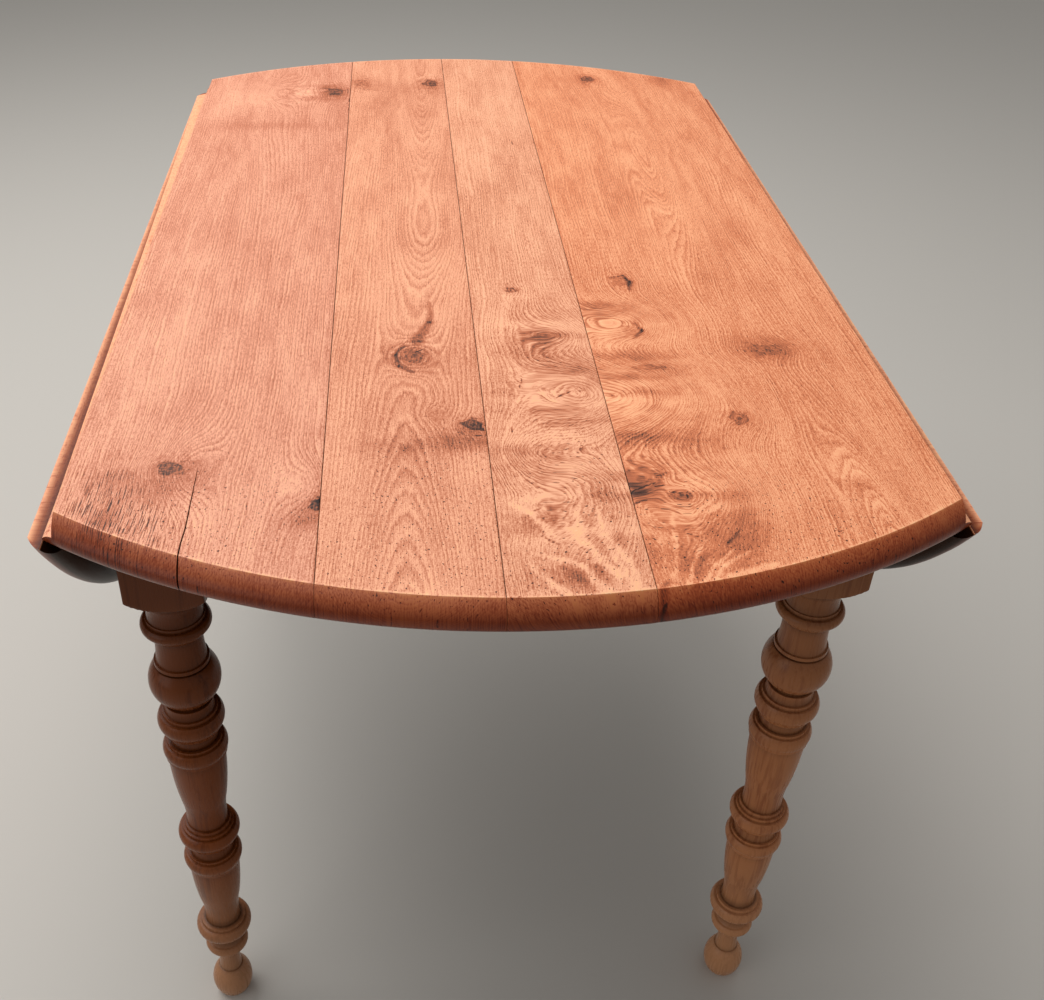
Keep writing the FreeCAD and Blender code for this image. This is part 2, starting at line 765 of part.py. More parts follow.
def loper(side_name, end_name):
    side = SIDES[side_name]
    middle = loper_y * ENDS[end_name]
    half = s.loper_width / 2
    name = "%s_%s_loper" % (side_name, end_name)
    ys = (middle - half, middle + half)
    bar = block(name + "_bar", (loper_inner * side, side_outer * side), ys, (loper_low, loper_top))
    groove_start = ((side_outer - s.finger_groove_inset) * side, ys[0] - s.overrun, loper_low)
    groove = rod(name + "_groove", s.finger_groove_radius, s.loper_width + s.overrun * 2, groove_start, "y")
    stop_radius = s.stop_diameter / 2
    stop_x = (loper_inner + s.stop_inset) * side
    stop_length = s.stop_drop + s.loper_height / 2
    stop_start = (stop_x, middle, loper_low - s.stop_drop)
    slack = s.peg_clearance
    room = rod(name + "_stop_room", stop_radius + slack, stop_length + slack, stop_start)
    node(name, cut(name, bar, [groove, room]))
    node(name + "_stop", rod(name + "_stop", stop_radius, stop_length, stop_start))


def loper_guide(side_name, end_name):
    side = SIDES[side_name]
    middle = loper_y * ENDS[end_name]
    half_way = s.loper_width / 2 + s.loper_clearance
    half = half_way + s.guide_cheek
    name = "%s_%s_loper_guide" % (side_name, end_name)
    body = block(name + "_body", (guide_inner * side, guide_outer * side), (middle - half, middle + half),
                 (guide_low, under_z))
    way_xs = ((guide_inner - s.overrun) * side, (guide_outer + s.overrun) * side)
    way = block(name + "_way", way_xs, (middle - half_way, middle + half_way),
                (loper_low - s.loper_clearance, under_z + s.overrun))
    holes = screw_rooms(name + "_screw_room", guide_screw_places(), guide_low, s.guide_screw_length)
    node(name, cut(name, body, [way] + holes))


for side_name in SIDES:
    for end_name in ENDS:
        loper(side_name, end_name)
        loper_guide(side_name, end_name)
guide_screws = [screw("guide_screw_%d" % count, x, y, guide_low, s.guide_screw_length)
                for count, (x, y) in enumerate(guide_screw_places())]
node("loper_guide_screws", group("loper_guide_screws", guide_screws))


# Buttons: each is screwed to the top and its tongue sits in a slot of the apron.

def buttons():
    holes = screw_rooms("button_hole", button_screw_places(), button_low, s.button_screw_length)
    half = s.button_width / 2
    solids = []
    for count, (face, sign, along) in enumerate(button_places()):
        inner = end_inner if face == "y" else side_inner
        length = (along - half, along + half)
        body = ((inner - s.button_length) * sign, inner * sign)
        tongue = (inner * sign, (inner + s.button_tongue) * sign)
        body_zs = (button_low, under_z)
        tongue_zs = (button_low, button_low + s.button_tongue_thickness)
        shapes = []
        for part, across, zs in (("body", body, body_zs), ("tongue", tongue, tongue_zs)):
            xs, ys = (length, across) if face == "y" else (across, length)
            shapes.append(block("button_%d_%s" % (count, part), xs, ys, zs))
        solids.append(cut("button_%d" % count, union("button_%d_form" % count, shapes), [holes[count]]))
    node("top_buttons", group("top_buttons", solids))
    screws = [screw("button_screw_%d" % count, x, y, button_low, s.button_screw_length)
              for count, (x, y) in enumerate(button_screw_places())]
    node("button_screws", group("button_screws", screws))


buttons()

doc.recompute()
failed = [obj.Name for obj in doc.Objects if "Invalid" in obj.State or "Error" in obj.State]
broken = [label for label, obj in nodes.items() if obj.Shape.isNull() or not obj.Shape.isValid()]
if failed or broken:
    raise RuntimeError("failed objects: %s, broken shapes: %s" % (failed, broken))

os.makedirs("parts", exist_ok=True)
for label, obj in nodes.items():
    obj.Shape.exportStep("parts/%s.step" % label)
print("%d parts written" % len(nodes))
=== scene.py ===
import functools
import json
import math

import bmesh
import bpy
import numpy as np
from mathutils import Matrix, Vector


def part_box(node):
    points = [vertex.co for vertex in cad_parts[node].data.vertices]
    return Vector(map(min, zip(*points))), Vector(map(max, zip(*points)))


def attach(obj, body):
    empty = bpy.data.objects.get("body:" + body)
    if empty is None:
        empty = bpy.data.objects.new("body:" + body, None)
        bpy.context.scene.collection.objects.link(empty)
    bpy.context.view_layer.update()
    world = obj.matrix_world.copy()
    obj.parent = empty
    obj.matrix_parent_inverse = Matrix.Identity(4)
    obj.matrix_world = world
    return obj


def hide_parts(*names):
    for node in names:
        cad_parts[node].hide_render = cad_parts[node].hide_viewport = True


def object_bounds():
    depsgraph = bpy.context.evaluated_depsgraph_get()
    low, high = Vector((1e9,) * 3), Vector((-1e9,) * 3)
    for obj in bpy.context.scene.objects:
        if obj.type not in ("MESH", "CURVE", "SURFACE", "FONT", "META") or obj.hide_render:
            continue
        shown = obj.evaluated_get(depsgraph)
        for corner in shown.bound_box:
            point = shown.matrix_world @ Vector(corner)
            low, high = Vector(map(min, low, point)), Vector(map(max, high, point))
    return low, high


# Old round drop-leaf table: elm top in four boards, two hanging leaves with rule joints,
# four turned fruitwood legs. Metres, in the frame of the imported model.

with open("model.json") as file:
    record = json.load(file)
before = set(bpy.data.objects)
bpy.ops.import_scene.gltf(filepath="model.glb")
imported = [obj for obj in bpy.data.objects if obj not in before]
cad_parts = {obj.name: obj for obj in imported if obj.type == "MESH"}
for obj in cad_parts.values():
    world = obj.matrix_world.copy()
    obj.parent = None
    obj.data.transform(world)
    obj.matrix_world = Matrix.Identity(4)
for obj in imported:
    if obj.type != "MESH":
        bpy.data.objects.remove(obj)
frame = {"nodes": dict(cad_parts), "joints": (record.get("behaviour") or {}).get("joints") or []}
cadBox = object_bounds()
mm = 0.001
hair = 0.02 * mm  # half of a step too small to see
brink = np.array([-hair, hair])  # two grid lines this close make a sharp step
latticeSize = 61  # points along each side of the noise's random lattice
print("frame loaded with", len(frame["nodes"]), "nodes")


# Small helpers

def tint(hexColour):
    # sRGB hex to linear RGBA
    parts = np.array([int(hexColour[i:i + 2], 16) for i in (1, 3, 5)]) / 255
    linear = np.where(parts <= 0.04045, parts / 12.92, ((parts + 0.055) / 1.055) ** 2.4)
    return (*linear.tolist(), 1.0)


def addNode(tree, kind, inputs=None, output=0, stops=None, **settings):
    # one node: its settings, its inputs (values or other nodes' outputs), its ramp stops
    made = tree.nodes.new("ShaderNode" + kind)
    for key, value in settings.items():
        setattr(made, key, value)
    for socket, value in (inputs or {}).items():
        if isinstance(value, bpy.types.NodeSocket):
            tree.links.new(value, made.inputs[socket])
        else:
            made.inputs[socket].default_value = value
    if stops:
        elements = made.color_ramp.elements
        while len(elements) < len(stops):
            elements.new(0.5)
        for element, (position, colour) in zip(elements, stops):
            element.position = position
            element.color = colour if isinstance(colour, tuple) else (colour, colour, colour, 1.0)
    return made.outputs[output] if made.outputs else made


def startMaterial(name):
    # an empty material, the function that adds a node to it, and the object's own coordinates
    material = bpy.data.materials.new(name)
    material.use_nodes = True
    material.node_tree.nodes.clear()
    add = functools.partial(addNode, material.node_tree)
    return material, add, add("TexCoord", output="Object")


def endMaterial(add, look, height, inputs):
    # bumps that follow a height, the shader and the output
    strength, depth = look["bump"]
    normal = add("Bump", {"Height": height, "Strength": strength, "Distance": depth})
    shader = add("BsdfPrincipled", inputs | {"Normal": normal})
    add("OutputMaterial", {0: shader})


def drift(u, v, seed):
    # smooth noise from -1 to 1: random heights on a square lattice, eased from point to point
    lattice = np.random.default_rng(seed).uniform(-1, 1, (latticeSize, latticeSize))
    i, j = np.floor(u).astype(int), np.floor(v).astype(int)
    a, b = u - i, v - j
    a, b = a * a * (3 - 2 * a), b * b * (3 - 2 * b)
    i, j, k, m = (corner % latticeSize for corner in (i, j, i + 1, j + 1))
    low = lattice[i, j] * (1 - a) + lattice[k, j] * a
    high = lattice[i, m] * (1 - a) + lattice[k, m] * a
    return low * (1 - b) + high * b


def climb(values, low, high):
    # 0 up to the low value, 1 from the high one on, a straight rise between
    return np.clip((values - low) / (high - low), 0, 1)


def addSurface(name, x, y, z, fields, sharpAngle):
    # grid of rows, each a closed loop, skinned with quads and capped at both ends
    rows, columns = x.shape
    index = np.arange(rows * columns).reshape(rows, columns)
    near, far = index[:-1], index[1:]
    quads = np.stack([near, np.roll(near, -1, 1), np.roll(far, -1, 1), far], -1).ravel()
    corners = np.concatenate([quads, index[0, ::-1], index[-1]]).astype(np.int32)
    starts = np.append(np.arange(0, quads.size, 4), [quads.size, quads.size + columns]).astype(np.int32)
    mesh = bpy.data.meshes.new(name)
    mesh.vertices.add(rows * columns)
    mesh.vertices.foreach_set("co", np.stack([x, y, z], -1).astype(np.float32).ravel())
    mesh.loops.add(corners.size)
    mesh.loops.foreach_set("vertex_index", corners)
    mesh.polygons.add(starts.size)
    mesh.polygons.foreach_set("loop_start", starts)
    for field, values in fields.items():
        layer = mesh.attributes.new(field, "FLOAT", "POINT")
        layer.data.foreach_set("value", values.astype(np.float32).ravel())
    mesh.update(calc_edges=True)
    shell = bmesh.new()
    shell.from_mesh(mesh)
    bmesh.ops.remove_doubles(shell, verts=shell.verts, dist=hair / 4)
    bmesh.ops.dissolve_degenerate(shell, edges=shell.edges, dist=hair / 4)
    bmesh.ops.recalc_face_normals(shell, faces=shell.faces)
    shell.to_mesh(mesh)
    shell.free()
    mesh.shade_smooth()
    mesh.set_sharp_from_angle(angle=math.radians(sharpAngle))
    piece = bpy.data.objects.new(name, mesh)
    bpy.context.scene.collection.objects.link(piece)
    return piece


def fit(piece, node, body):
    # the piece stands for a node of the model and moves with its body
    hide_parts(node)
    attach(piece, body)
    return piece


# Sizes that the boards share, read from the frame

rightJoint = next(joint for joint in frame["joints"] if joint["name"] == "right_leaf_hinge")
axisX, _, axisZ = rightJoint["pos_m"]
ruleLow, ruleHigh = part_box("top_board_right")
topZ, underZ = ruleHigh.z, ruleLow.z
topRadius = max(abs(cadBox[0].y), cadBox[1].y)
noseRadius = (topZ - underZ) / 2
noseZ = (topZ + underZ) / 2
flatRadius = topRadius - noseRadius
ovolo = ruleHigh.x - axisX
centreNodes = ("top_board_left", "top_board_mid_left", "top_board_mid_right", "top_board_right")
centreBoxes = [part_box(node) for node in centreNodes]
hingePlaces = ("front", "middle", "rear")
hingeBoxes = [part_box("right_%s_hinge_frame_plate" % place) for place in hingePlaces]
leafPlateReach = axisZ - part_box("right_front_hinge_leaf_plate")[0].z

board = {
    "spacing": 2.3 * mm,  # grid step on the top
    "noseSteps": 15,  # grid steps round the nose
    "noseLevels": 241,  # heights at which the nose's outline is looked up
    "floorSteps": 80,  # grid steps along the underside
    "rimSteps": 120,  # grid rows from a leaf's lip to its rim
    "ruleSteps": 13,  # grid steps round the ovolo and the cove
    "easeSteps": 3,  # grid steps round an eased edge
    "arris": 0.7 * mm,  # easing of the edges along the seams
    "wear": 0.5 * mm,  # unevenness of the old planed faces and the nose
    "arrisSlope": 1.7,  # at its upper arris the nose runs out this far for each step down
    "wornWidth": 1.4 * mm,  # half width of the pale line along the rim's upper arris, partly rubbing and partly a painted highlight
    # from where to where on the way round the nose, as shares of it: two coats of old polish that also
    # carry painted shade, bare wood with painted shade
    "firstCoat": (0.0, 0.07),
    "secondCoat": (0.12, 0.47),
    "bareCentre": (0.72, 0.92),
    "bareLeaf": (0.40, 0.60),
    "jointBand": 1.4 * mm,  # width beside the hinge line that belongs to the rule joint
    "jointPale": 0.06,  # painted light on the rule joint's faces, against the shade in the joint: how much lighter in tone, and how much of the ragged pale marks
    "jointWorn": 0.35,
    "seamDark": 0.7,  # darkness of the dirt in the seams
    "hingeSlack": 0.3 * mm,  # room round the hinge plates
    "hingePlate": 2 * mm,  # depth of the recesses for them
    "knuckleRoom": 4.5 * mm,  # radius of the room for the knuckles
    "coveSlack": 0.4 * mm,  # clearance of the leaf's cove round the ovolo
    "rightSeeds": 200,  # step of the seeds from the left leaf to the right one
    "sharp": 20,  # edges that turn by more than this many degrees stay crisp
}
# Split beside the left knot that runs out through the front edge
longSplit = {
    "x": -232 * mm,
    "from": -424 * mm,
    "width": 1.3 * mm,
    "depth": 6 * mm,
    "darkDepth": 1 * mm,  # black from this depth on
    "startWidth": 0.25,  # share of the width at its start
    "power": 0.6,  # below 1 it opens quickly at first
    "wander": 0.8 * mm,
    "wanderSize": 26 * mm,
    "seed": 5,
    "band": 5 * mm,  # half width and grid rows of the finer part of the board round it
    "rows": 45,
}
plateInner = hingeBoxes[0][0].x - board["hingeSlack"]
cove = ovolo + board["coveSlack"]

# Grain of each board. Places are millimetres from the table's centre: across, along (front negative).
# pith: where the middle of the tree lay, across at the table's centre, its lean from there to an end,
# and how deep below the face.
# hills: across, along, half width, half length, height; they bend the rings into nested arches.
# burrs: the same, but the rings there lose their run along the board, and height is the wildness.
# knots: across, along, half width, half length, darkness, height of the swirl round it.
# stains: across, along, half width, half length, darkness (negative is pale).
# cracks: from (across, along), to (across, along), width.
# flames: pale or dark streaks as cracks, with their lightness after the width.
# calm, pits, scratches: across, along, half width, half length of the part without ring lines, with
# worm holes or with scratches.
boardGrain = {
    "top_board_left": {
        "pith": (-620, 0, 60), "seed": 11,
        "hills": [(-240, 430, 26, 300, 26), (-243, -428, 24, 50, 33), (-150, -452, 18, 36, -22),
                  (-275, -150, 40, 220, 9), (-175, 100, 26, 260, -9)],
        "burrs": [(-195, 425, 50, 42, 5)],
        "knots": [(-251, -426, 9, 8, 0.8, 4), (-161, 430, 10, 14, 0.5, 8), (-143, -474, 4, 7, 0.9, 3),
                  (-172, 448, 6, 7, 0.35, 4)],
        "stains": [(-252, -452, 26, 16, 0.12), (-286, -438, 24, 14, 0.07), (-152, -490, 14, 12, 0.16),
                   (-228, 300, 90, 14, 0.06), (-160, 430, 20, 30, 0.12), (-250, 395, 50, 45, -0.08),
                   (-290, -488, 9, 16, 0.14), (-300, -300, 40, 160, -0.03), (-215, -480, 40, 40, -0.03)],
        "cracks": [(-152, -480, -141, -468, 1.5), (-141, -482, -141, -462, 1.3),
                   (-190, 446, -142, 438, 1.4), (-186, 440, -170, 428, 1.2), (-176, 421, -150, 424, 1.2),
                   (-143, 446, -142, 350, 1.2)],
        "pits": [(-245, -520, 60, 30), (-200, -470, 60, 60)],
        "scratches": [(-296, -470, 30, 50), (-262, -500, 24, 30)],
        "calm": [], "flames": [],
    },
    "top_board_mid_left": {
        "pith": (-62, 24, 46), "seed": 23,
        "hills": [(-80, -720, 46, 270, -38), (-50, 640, 40, 520, -62), (-50, -10, 36, 95, -14),
                  (-70, -264, 26, 38, 13)],
        "knots": [(-71, -264, 9, 12, 0.5, 5), (-27, -372, 8, 8, 0.95, 7), (-54, -357, 7, 8, 0.14, 6),
                  (-36, 469, 9, 13, 0.85, 7), (-128, 470, 9, 14, 0.3, 6)],
        "stains": [(-70, -262, 26, 30, 0.07), (-66, -398, 40, 12, 0.1), (-30, -394, 26, 14, 0.14),
                   (-120, 460, 20, 24, 0.1), (-36, 440, 50, 20, 0.06), (-72, -575, 18, 12, -0.07),
                   (-110, 380, 30, 60, 0.03)],
        "cracks": [(-40, -380, -30, -388, 1.5), (-30, -388, -17, -386, 1.5), (-72, -258, -60, -250, 1.2),
                   (-139, 462, -112, 466, 1.2), (-139, 446, -108, 438, 1.2)],
        "flames": [(-80, -246, -87, -262, 5, -0.22), (-87, -262, -83, -280, 6, -0.24),
                   (-83, -280, -71, -291, 6, -0.22), (-68, -238, -57, -204, 13, -0.22),
                   (-57, -204, -54, -164, 7, -0.2), (-56, -236, -46, -262, 5, 0.08)],
        "pits": [(-70, -540, 90, 60), (-60, -440, 60, 60)],
        "burrs": [], "calm": [], "scratches": [],
    },
    "top_board_mid_right": {
        "pith": (330, 0, 70), "seed": 37,
        "hills": [(30, 220, 26, 240, 9), (66, -322, 66, 52, 46), (44, -226, 34, 30, 24),
                  (30, -410, 40, 26, -16), (20, -480, 60, 50, 20)],
        "burrs": [(48, -225, 46, 46, 5), (50, -325, 56, 66, 5), (40, -470, 60, 110, 6)],
        "knots": [(22, -141, 5, 6, 0.75, 4), (47, -228, 13, 6, 0.42, 3), (30, -470, 7, 4, 0.3, 2)],
        "stains": [(40, -262, 34, 14, 0.1), (58, -286, 26, 12, 0.1), (2, -412, 20, 9, 0.12),
                   (48, -372, 22, 10, 0.1), (10, -445, 16, 12, 0.08), (34, -330, 18, 16, -0.1),
                   (50, -395, 30, 12, -0.08), (28, -558, 20, 10, 0.13), (14, -470, 26, 5, -0.1),
                   (60, -460, 14, 12, 0.08), (30, -150, 24, 18, -0.05)],
        "cracks": [(44, -333, 56, -322, 1.5), (56, -322, 71, -320, 1.5), (12, -323, 17, -302, 1.3),
                   (12, -514, 26, -524, 2.2), (8, -484, 14, -480, 1.5), (52, 262, 55, 240, 1.5),
                   (28, -232, 48, -230, 1.4), (36, -240, 48, -246, 1.2), (2, -388, 5, -366, 1.4),
                   (4, -398, 14, -398, 1.2)],
        "calm": [(44, -545, 46, 46), (20, -500, 26, 24)],
        "flames": [(72, -578, 60, -538, 5, 0.17), (60, -538, 53, -512, 4, 0.13),
                   (72, -566, 68, -541, 4, 0.16), (68, -541, 56, -512, 7, 0.16),
                   (60, -558, 41, -521, 8, 0.18), (41, -521, 33, -505, 9, 0.16),
                   (52, -580, 36, -546, 9, 0.18), (36, -546, 11, -534, 6, 0.17),
                   (30, -584, 14, -564, 6, 0.18), (14, -564, 0, -542, 5, 0.12),
                   (18, -509, 7, -487, 7, 0.16), (7, -487, -7, -476, 6, 0.16),
                   (41, -510, 39, -486, 8, 0.16), (54, -506, 58, -476, 3, 0.16),
                   (44, -571, 22, -549, 12, -0.08), (52, -562, 45, -545, 5, -0.07),
                   (66, -522, 66, -492, 12, -0.07), (24, -500, 18, -470, 7, -0.09)],
        "pits": [(50, -470, 40, 90), (30, -560, 60, 30)],
        "scratches": [],
    },
    "top_board_right": {
        "pith": (640, 0, 80), "seed": 41,
        "hills": [(266, -600, 24, 230, 60), (215, 190, 24, 250, 44), (84, -330, 88, 58, 50),
                  (112, -206, 46, 34, 30), (196, -366, 20, 30, 14), (150, -470, 44, 40, 20),
                  (292, 120, 20, 200, 9)],
        "burrs": [(100, -205, 60, 40, 4), (92, -325, 80, 66, 4), (112, -470, 56, 100, 6)],
        "knots": [(128, -123, 8, 10, 0.35, 6), (124, -220, 9, 9, 0.35, 6), (94, -448, 15, 17, 0.62, 8),
                  (186, -366, 8, 8, 0.6, 5), (236, -257, 14, 9, 0.32, 6), (179, 493, 9, 12, 0.7, 7),
                  (127, -285, 14, 4, 0.5, 3), (118, -470, 7, 5, 0.4, 4)],
        "stains": [(98, -172, 30, 9, 0.13), (94, -192, 34, 7, 0.12), (110, -268, 44, 9, 0.1),
                   (92, -300, 30, 7, 0.1), (118, -392, 48, 13, 0.11), (84, -474, 14, 16, 0.1),
                   (108, -545, 12, 16, 0.14), (145, -530, 12, 24, 0.12), (160, -505, 12, 26, 0.1),
                   (236, -252, 30, 20, 0.1), (110, -350, 40, 14, -0.1), (120, -245, 34, 9, -0.08),
                   (150, -420, 40, 10, -0.06), (250, -330, 30, 60, 0.04), (285, 490, 22, 30, 0.1),
                   (200, 30, 26, 60, -0.05), (250, -412, 9, 8, -0.08), (255, -440, 9, 8, -0.08),
                   (258, -480, 11, 10, -0.08), (256, -460, 12, 8, 0.05)],
        "cracks": [(73, -482, 84, -462, 1.8), (84, -462, 103, -451, 1.6), (73, -482, 94, -474, 1.6),
                   (75, -484, 76, -496, 1.6), (110, -463, 122, -466, 1.6), (122, -466, 124, -474, 1.6),
                   (78, -572, 80, -588, 2.2), (82, -585, 90, -578, 1.8), (218, -512, 226, -514, 1.8)],
        "calm": [(120, -550, 60, 40), (90, -520, 30, 40)],
        "flames": [(120, -114, 131, -110, 4, -0.2), (131, -110, 137, -124, 5, -0.28),
                   (137, -124, 135, -141, 6, -0.26), (128, -206, 133, -220, 5, -0.26),
                   (133, -220, 124, -234, 5, -0.22), (97, -558, 104, -526, 5, 0.13),
                   (104, -526, 109, -490, 4, 0.13), (104, -568, 119, -529, 4, 0.17),
                   (116, -564, 128, -546, 4, 0.18), (128, -546, 143, -530, 5, 0.18),
                   (124, -562, 134, -548, 4, 0.18), (134, -548, 154, -533, 5, 0.16),
                   (134, -560, 170, -546, 8, 0.16), (139, -523, 153, -510, 4, -0.15),
                   (112, -556, 124, -532, 7, -0.08), (134, -557, 156, -549, 5, -0.08),
                   (90, -566, 86, -580, 6, -0.21), (84, -520, 88, -548, 14, -0.07),
                   (124, -550, 136, -534, 5, -0.1)],
        "pits": [(170, -530, 90, 40), (130, -500, 70, 60), (240, -540, 90, 24), (195, -505, 60, 50)],
        "scratches": [],
    },
    "inner_board": {
        "pith": (640, 0, 66), "seed": 53,
        "hills": [(420, -200, 34, 240, 25), (400, 260, 30, 220, -18)],
        "knots": [(430, 160, 8, 11, 0.8, 7)],
        "stains": [(400, -60, 40, 200, 0.05)],
        "pits": [(400, -420, 60, 60)],
        "burrs": [], "cracks": [], "calm": [], "flames": [], "scratches": [],
    },
    "outer_board": {
        "pith": (470, 20, 52), "seed": 67,
        "hills": [(480, 520, 46, 300, -30), (480, -520, 46, 260, -26)],
        "knots": [(520, -60, 7, 9, 0.75, 6)],
        "stains": [(500, 60, 40, 160, 0.05)],
        "pits": [(500, 120, 60, 80)],
        "burrs": [], "cracks": [], "calm": [], "flames": [], "scratches": [],
    },
}
figure = {
    "endGrain": 0.35,  # how much the rings move on down the edge
    "edgeRun": 1.5,  # how far the rings run on for each step down the nose, without its noise
    "burrCalm": 0.85,  # how much of the rings' run along the board a burr takes away
    "farthest": 4.0,  # distances from knots and cracks are kept up to this many half widths
    "knotPush": (0.6, 2.2),  # share by which a knot pushes the rings aside, reach in half widths
    "knotReach": 1.9,  # reach of its swirl
    "crackTaper": 0.6,  # how much narrower cracks are at their ends, and flames at their tips
    "flameTaper": 0.5,
    "burrLines": 0.5,  # how much stronger the ring lines are in a burr
    "calmShare": 0.9,  # how much weaker in a calm place
    "edgeCalm": 0.4,  # on the nose
    "backCalm": 0.35,  # and at the rear end, where their fading stands in as painted sheen, from this share of the length
    "backStart": -0.2,
    "knotFade": (0.3, 0.2),  # in a knot: half widths from its middle where they begin, least strength
    "spots": {"calm": 0.0, "pits": 0.12, "scratches": 0.0},  # share of each outside its places
}
# Noises of the grain: strength, size across and size along in millimetres, step of the seed
grainNoise = {
    "sway": [(5, 150, 300, 0), (1.5, 46, 92, 1), (0.6, 15, 45, 2)],  # rings, in millimetres
    "wild": [(1, 44, 44, 3), (0.4, 15, 15, 4)],  # rings in a burr
    "bands": [(0.030, 17, 85, 5), (0.030, 6.5, 39, 6)],  # tone, along the rings
    "patches": [(0.012, 75, 120, 7), (0.012, 27, 27, 8)],  # tone
    "clouds": [(0.10, 39, 13, 9), (0.07, 11, 5.5, 10)],  # tone in a burr
    "ragged": [(0.35, 9, 9, 11), (0.25, 21, 21, 12)],  # darkness of the stains
    "wanderAcross": [(1.6, 11, 11, 13)],  # cracks and flames, in millimetres
    "wanderAlong": [(1.6, 13, 13, 14)],
    "wear": [(0.3, 90, 90, 15), (0.2, 23, 23, 16)],  # share of the wear of the faces
    "edgeRun": [(1.3, 60, 60, 17)],  # run of the rings down the nose
}


def noise(kind, u, v, grain):
    # sum of the drifts of one kind, each with its own strength, sizes and seed
    return sum(strength * drift(u / wide, v / long, grain["seed"] + count)
               for strength, wide, long, count in grainNoise[kind])


def bell(x, y, px, py, halfWidth, halfLength):
    # 1 at the place, falling to nothing: exp of minus the squared distance in half widths
    return np.exp(-((x - px) / halfWidth) ** 2 - ((y - py) / halfLength) ** 2)


def knotFields(x, y, grain):
    # distance to the nearest knot in half widths, its darkness, and how far the knots push the rings
    # aside and raise them, both fading as a bell
    nearest = np.full_like(x, figure["farthest"])
    darkness, spread, bulge = (np.zeros_like(x) for count in range(3))
    push, pushReach = figure["knotPush"]
    for px, py, halfWidth, halfLength, dark, height in grain["knots"]:
        away = np.hypot((x - px) / halfWidth, (y - py) / halfLength)
        spread -= (x - px) * push * np.exp(-(away / pushReach) ** 2)
        bulge += height * np.exp(-(away / figure["knotReach"]) ** 2)
        darkness = np.where(away < nearest, dark, darkness)
        nearest = np.minimum(nearest, away)
    return nearest, darkness, spread, bulge


def strokeGap(x, y, x0, y0, x1, y1):
    # distance from a straight stroke, and the share of its length that lies behind the nearest point
    share = ((x - x0) * (x1 - x0) + (y - y0) * (y1 - y0)) / ((x1 - x0) ** 2 + (y1 - y0) ** 2)
    share = np.clip(share, 0, 1)
    return np.hypot(x - x0 - share * (x1 - x0), y - y0 - share * (y1 - y0)), share


def crackField(x, y, grain):
    # distance to the nearest fine crack in half widths; a crack is widest in its middle
    nearest = np.full_like(x, figure["farthest"])
    for *ends, width in grain["cracks"]:
        gap, share = strokeGap(x, y, *ends)
        nearest = np.minimum(nearest, gap / (width / 2 * (1 - figure["crackTaper"] * (2 * share - 1) ** 2)))
    return nearest


def flameField(x, y, grain):
    # pale and dark streaks: each fades with the fourth power of the distance in half widths
    flames = np.zeros_like(x)
    for *ends, width, light in grain["flames"]:
        gap, share = strokeGap(x, y, *ends)
        flames += light * np.exp(-(gap / (width / 2 * (1 - figure["flameTaper"] * share))) ** 4)
    return flames


def grainFields(x, y, z, grain):
    # growth rings: distance from the pith, bent by hills, knots and burrs; tone: light and dark bands
    # that follow the rings, patches, stains, clouds in the burrs and the streaks of the fan;
    # across: place across the grain, which follows the bent rings in the burrs only
    x, y, deep = x / mm, y / mm, (topZ - z) / mm
    nearest, darkness, spread, bulge = knotFields(x, y, grain)
    pith, lean, depth = grain["pith"]
    beside = x + noise("sway", x, y, grain) + spread - pith - lean * y * mm / topRadius
    ring = np.hypot(beside, depth + figure["endGrain"] * deep)
    plain = beside * (1 if beside.mean() > 0 else -1)
    burr = np.zeros_like(x)
    for px, py, halfWidth, halfLength, wildness in grain["burrs"]:
        share = bell(x, y, px, py, halfWidth, halfLength)
        ring += figure["burrCalm"] * share * (math.hypot(px - pith, depth) - ring)
        ring += share * wildness * noise("wild", x, y, grain)
        burr = np.maximum(burr, share)
    for *place, height in grain["hills"]:
        ring += height * bell(x, y, *place)
    ring += bulge + deep * (figure["edgeRun"] + noise("edgeRun", x, y, grain))
    tone = 0.5 + noise("bands", ring, y, grain) + noise("patches", x, y, grain)
    tone += burr * noise("clouds", x, y, grain)
    ragged = 1 + noise("ragged", x, y, grain)
    for *place, dark in grain["stains"]:
        tone -= dark * bell(x, y, *place) * ragged
    bentX = x + noise("wanderAcross", x, y, grain)
    bentY = y + noise("wanderAlong", x, y, grain)
    tone += flameField(bentX, bentY, grain)
    spots = {}
    for kind, least in figure["spots"].items():
        spots[kind] = np.clip(sum((bell(x, y, *place) for place in grain[kind]), x * 0 + least), 0, 1)
    begin, least = figure["knotFade"]
    lines = (1 + figure["burrLines"] * burr) * np.clip(nearest - begin, least, 1)
    lines *= 1 - figure["calmShare"] * spots.pop("calm")
    lines *= 1 - figure["edgeCalm"] * np.clip(deep, 0, 1)
    lines *= 1 - figure["backCalm"] * np.clip(y * mm / topRadius - figure["backStart"], 0, 1)
    across = plain + burr * (ring - plain)
    return {"ring": ring * mm, "across": across * mm, "tone": tone, "lines": lines, "knotAway": nearest,
            "knot": darkness, "crackAway": crackField(bentX, bentY, grain), **spots}


def rim(z):
    # radius of the top at a height on its nose: a half round, drawn in to a slope at the upper arris;
    # the two meet in one over the fourth root of the sum of their inverse fourth powers
    rounded = np.sqrt(np.maximum(noseRadius ** 2 - (z - noseZ) ** 2, hair ** 2))
    sloped = np.maximum(board["arrisSlope"] * (topZ - z), hair)
    return flatRadius + (rounded ** -4 + sloped ** -4) ** -0.25


def reach(x, z):
    # half length of the round top at a place across it and a height on its nose
    return np.sqrt(np.maximum(rim(z) ** 2 - x ** 2, 0))


noseLevels = np.linspace(topZ, underZ, board["noseLevels"])
widest = int(np.argmax(rim(noseLevels)))
rimRadius = rim(noseLevels[widest])


def atHinge(y):
    # true where a hinge plate is let in
    inside = np.zeros(y.shape, bool)
    for low, high in hingeBoxes:
        inside |= (y > low.y - board["hingeSlack"]) & (y < high.y + board["hingeSlack"])
    return inside


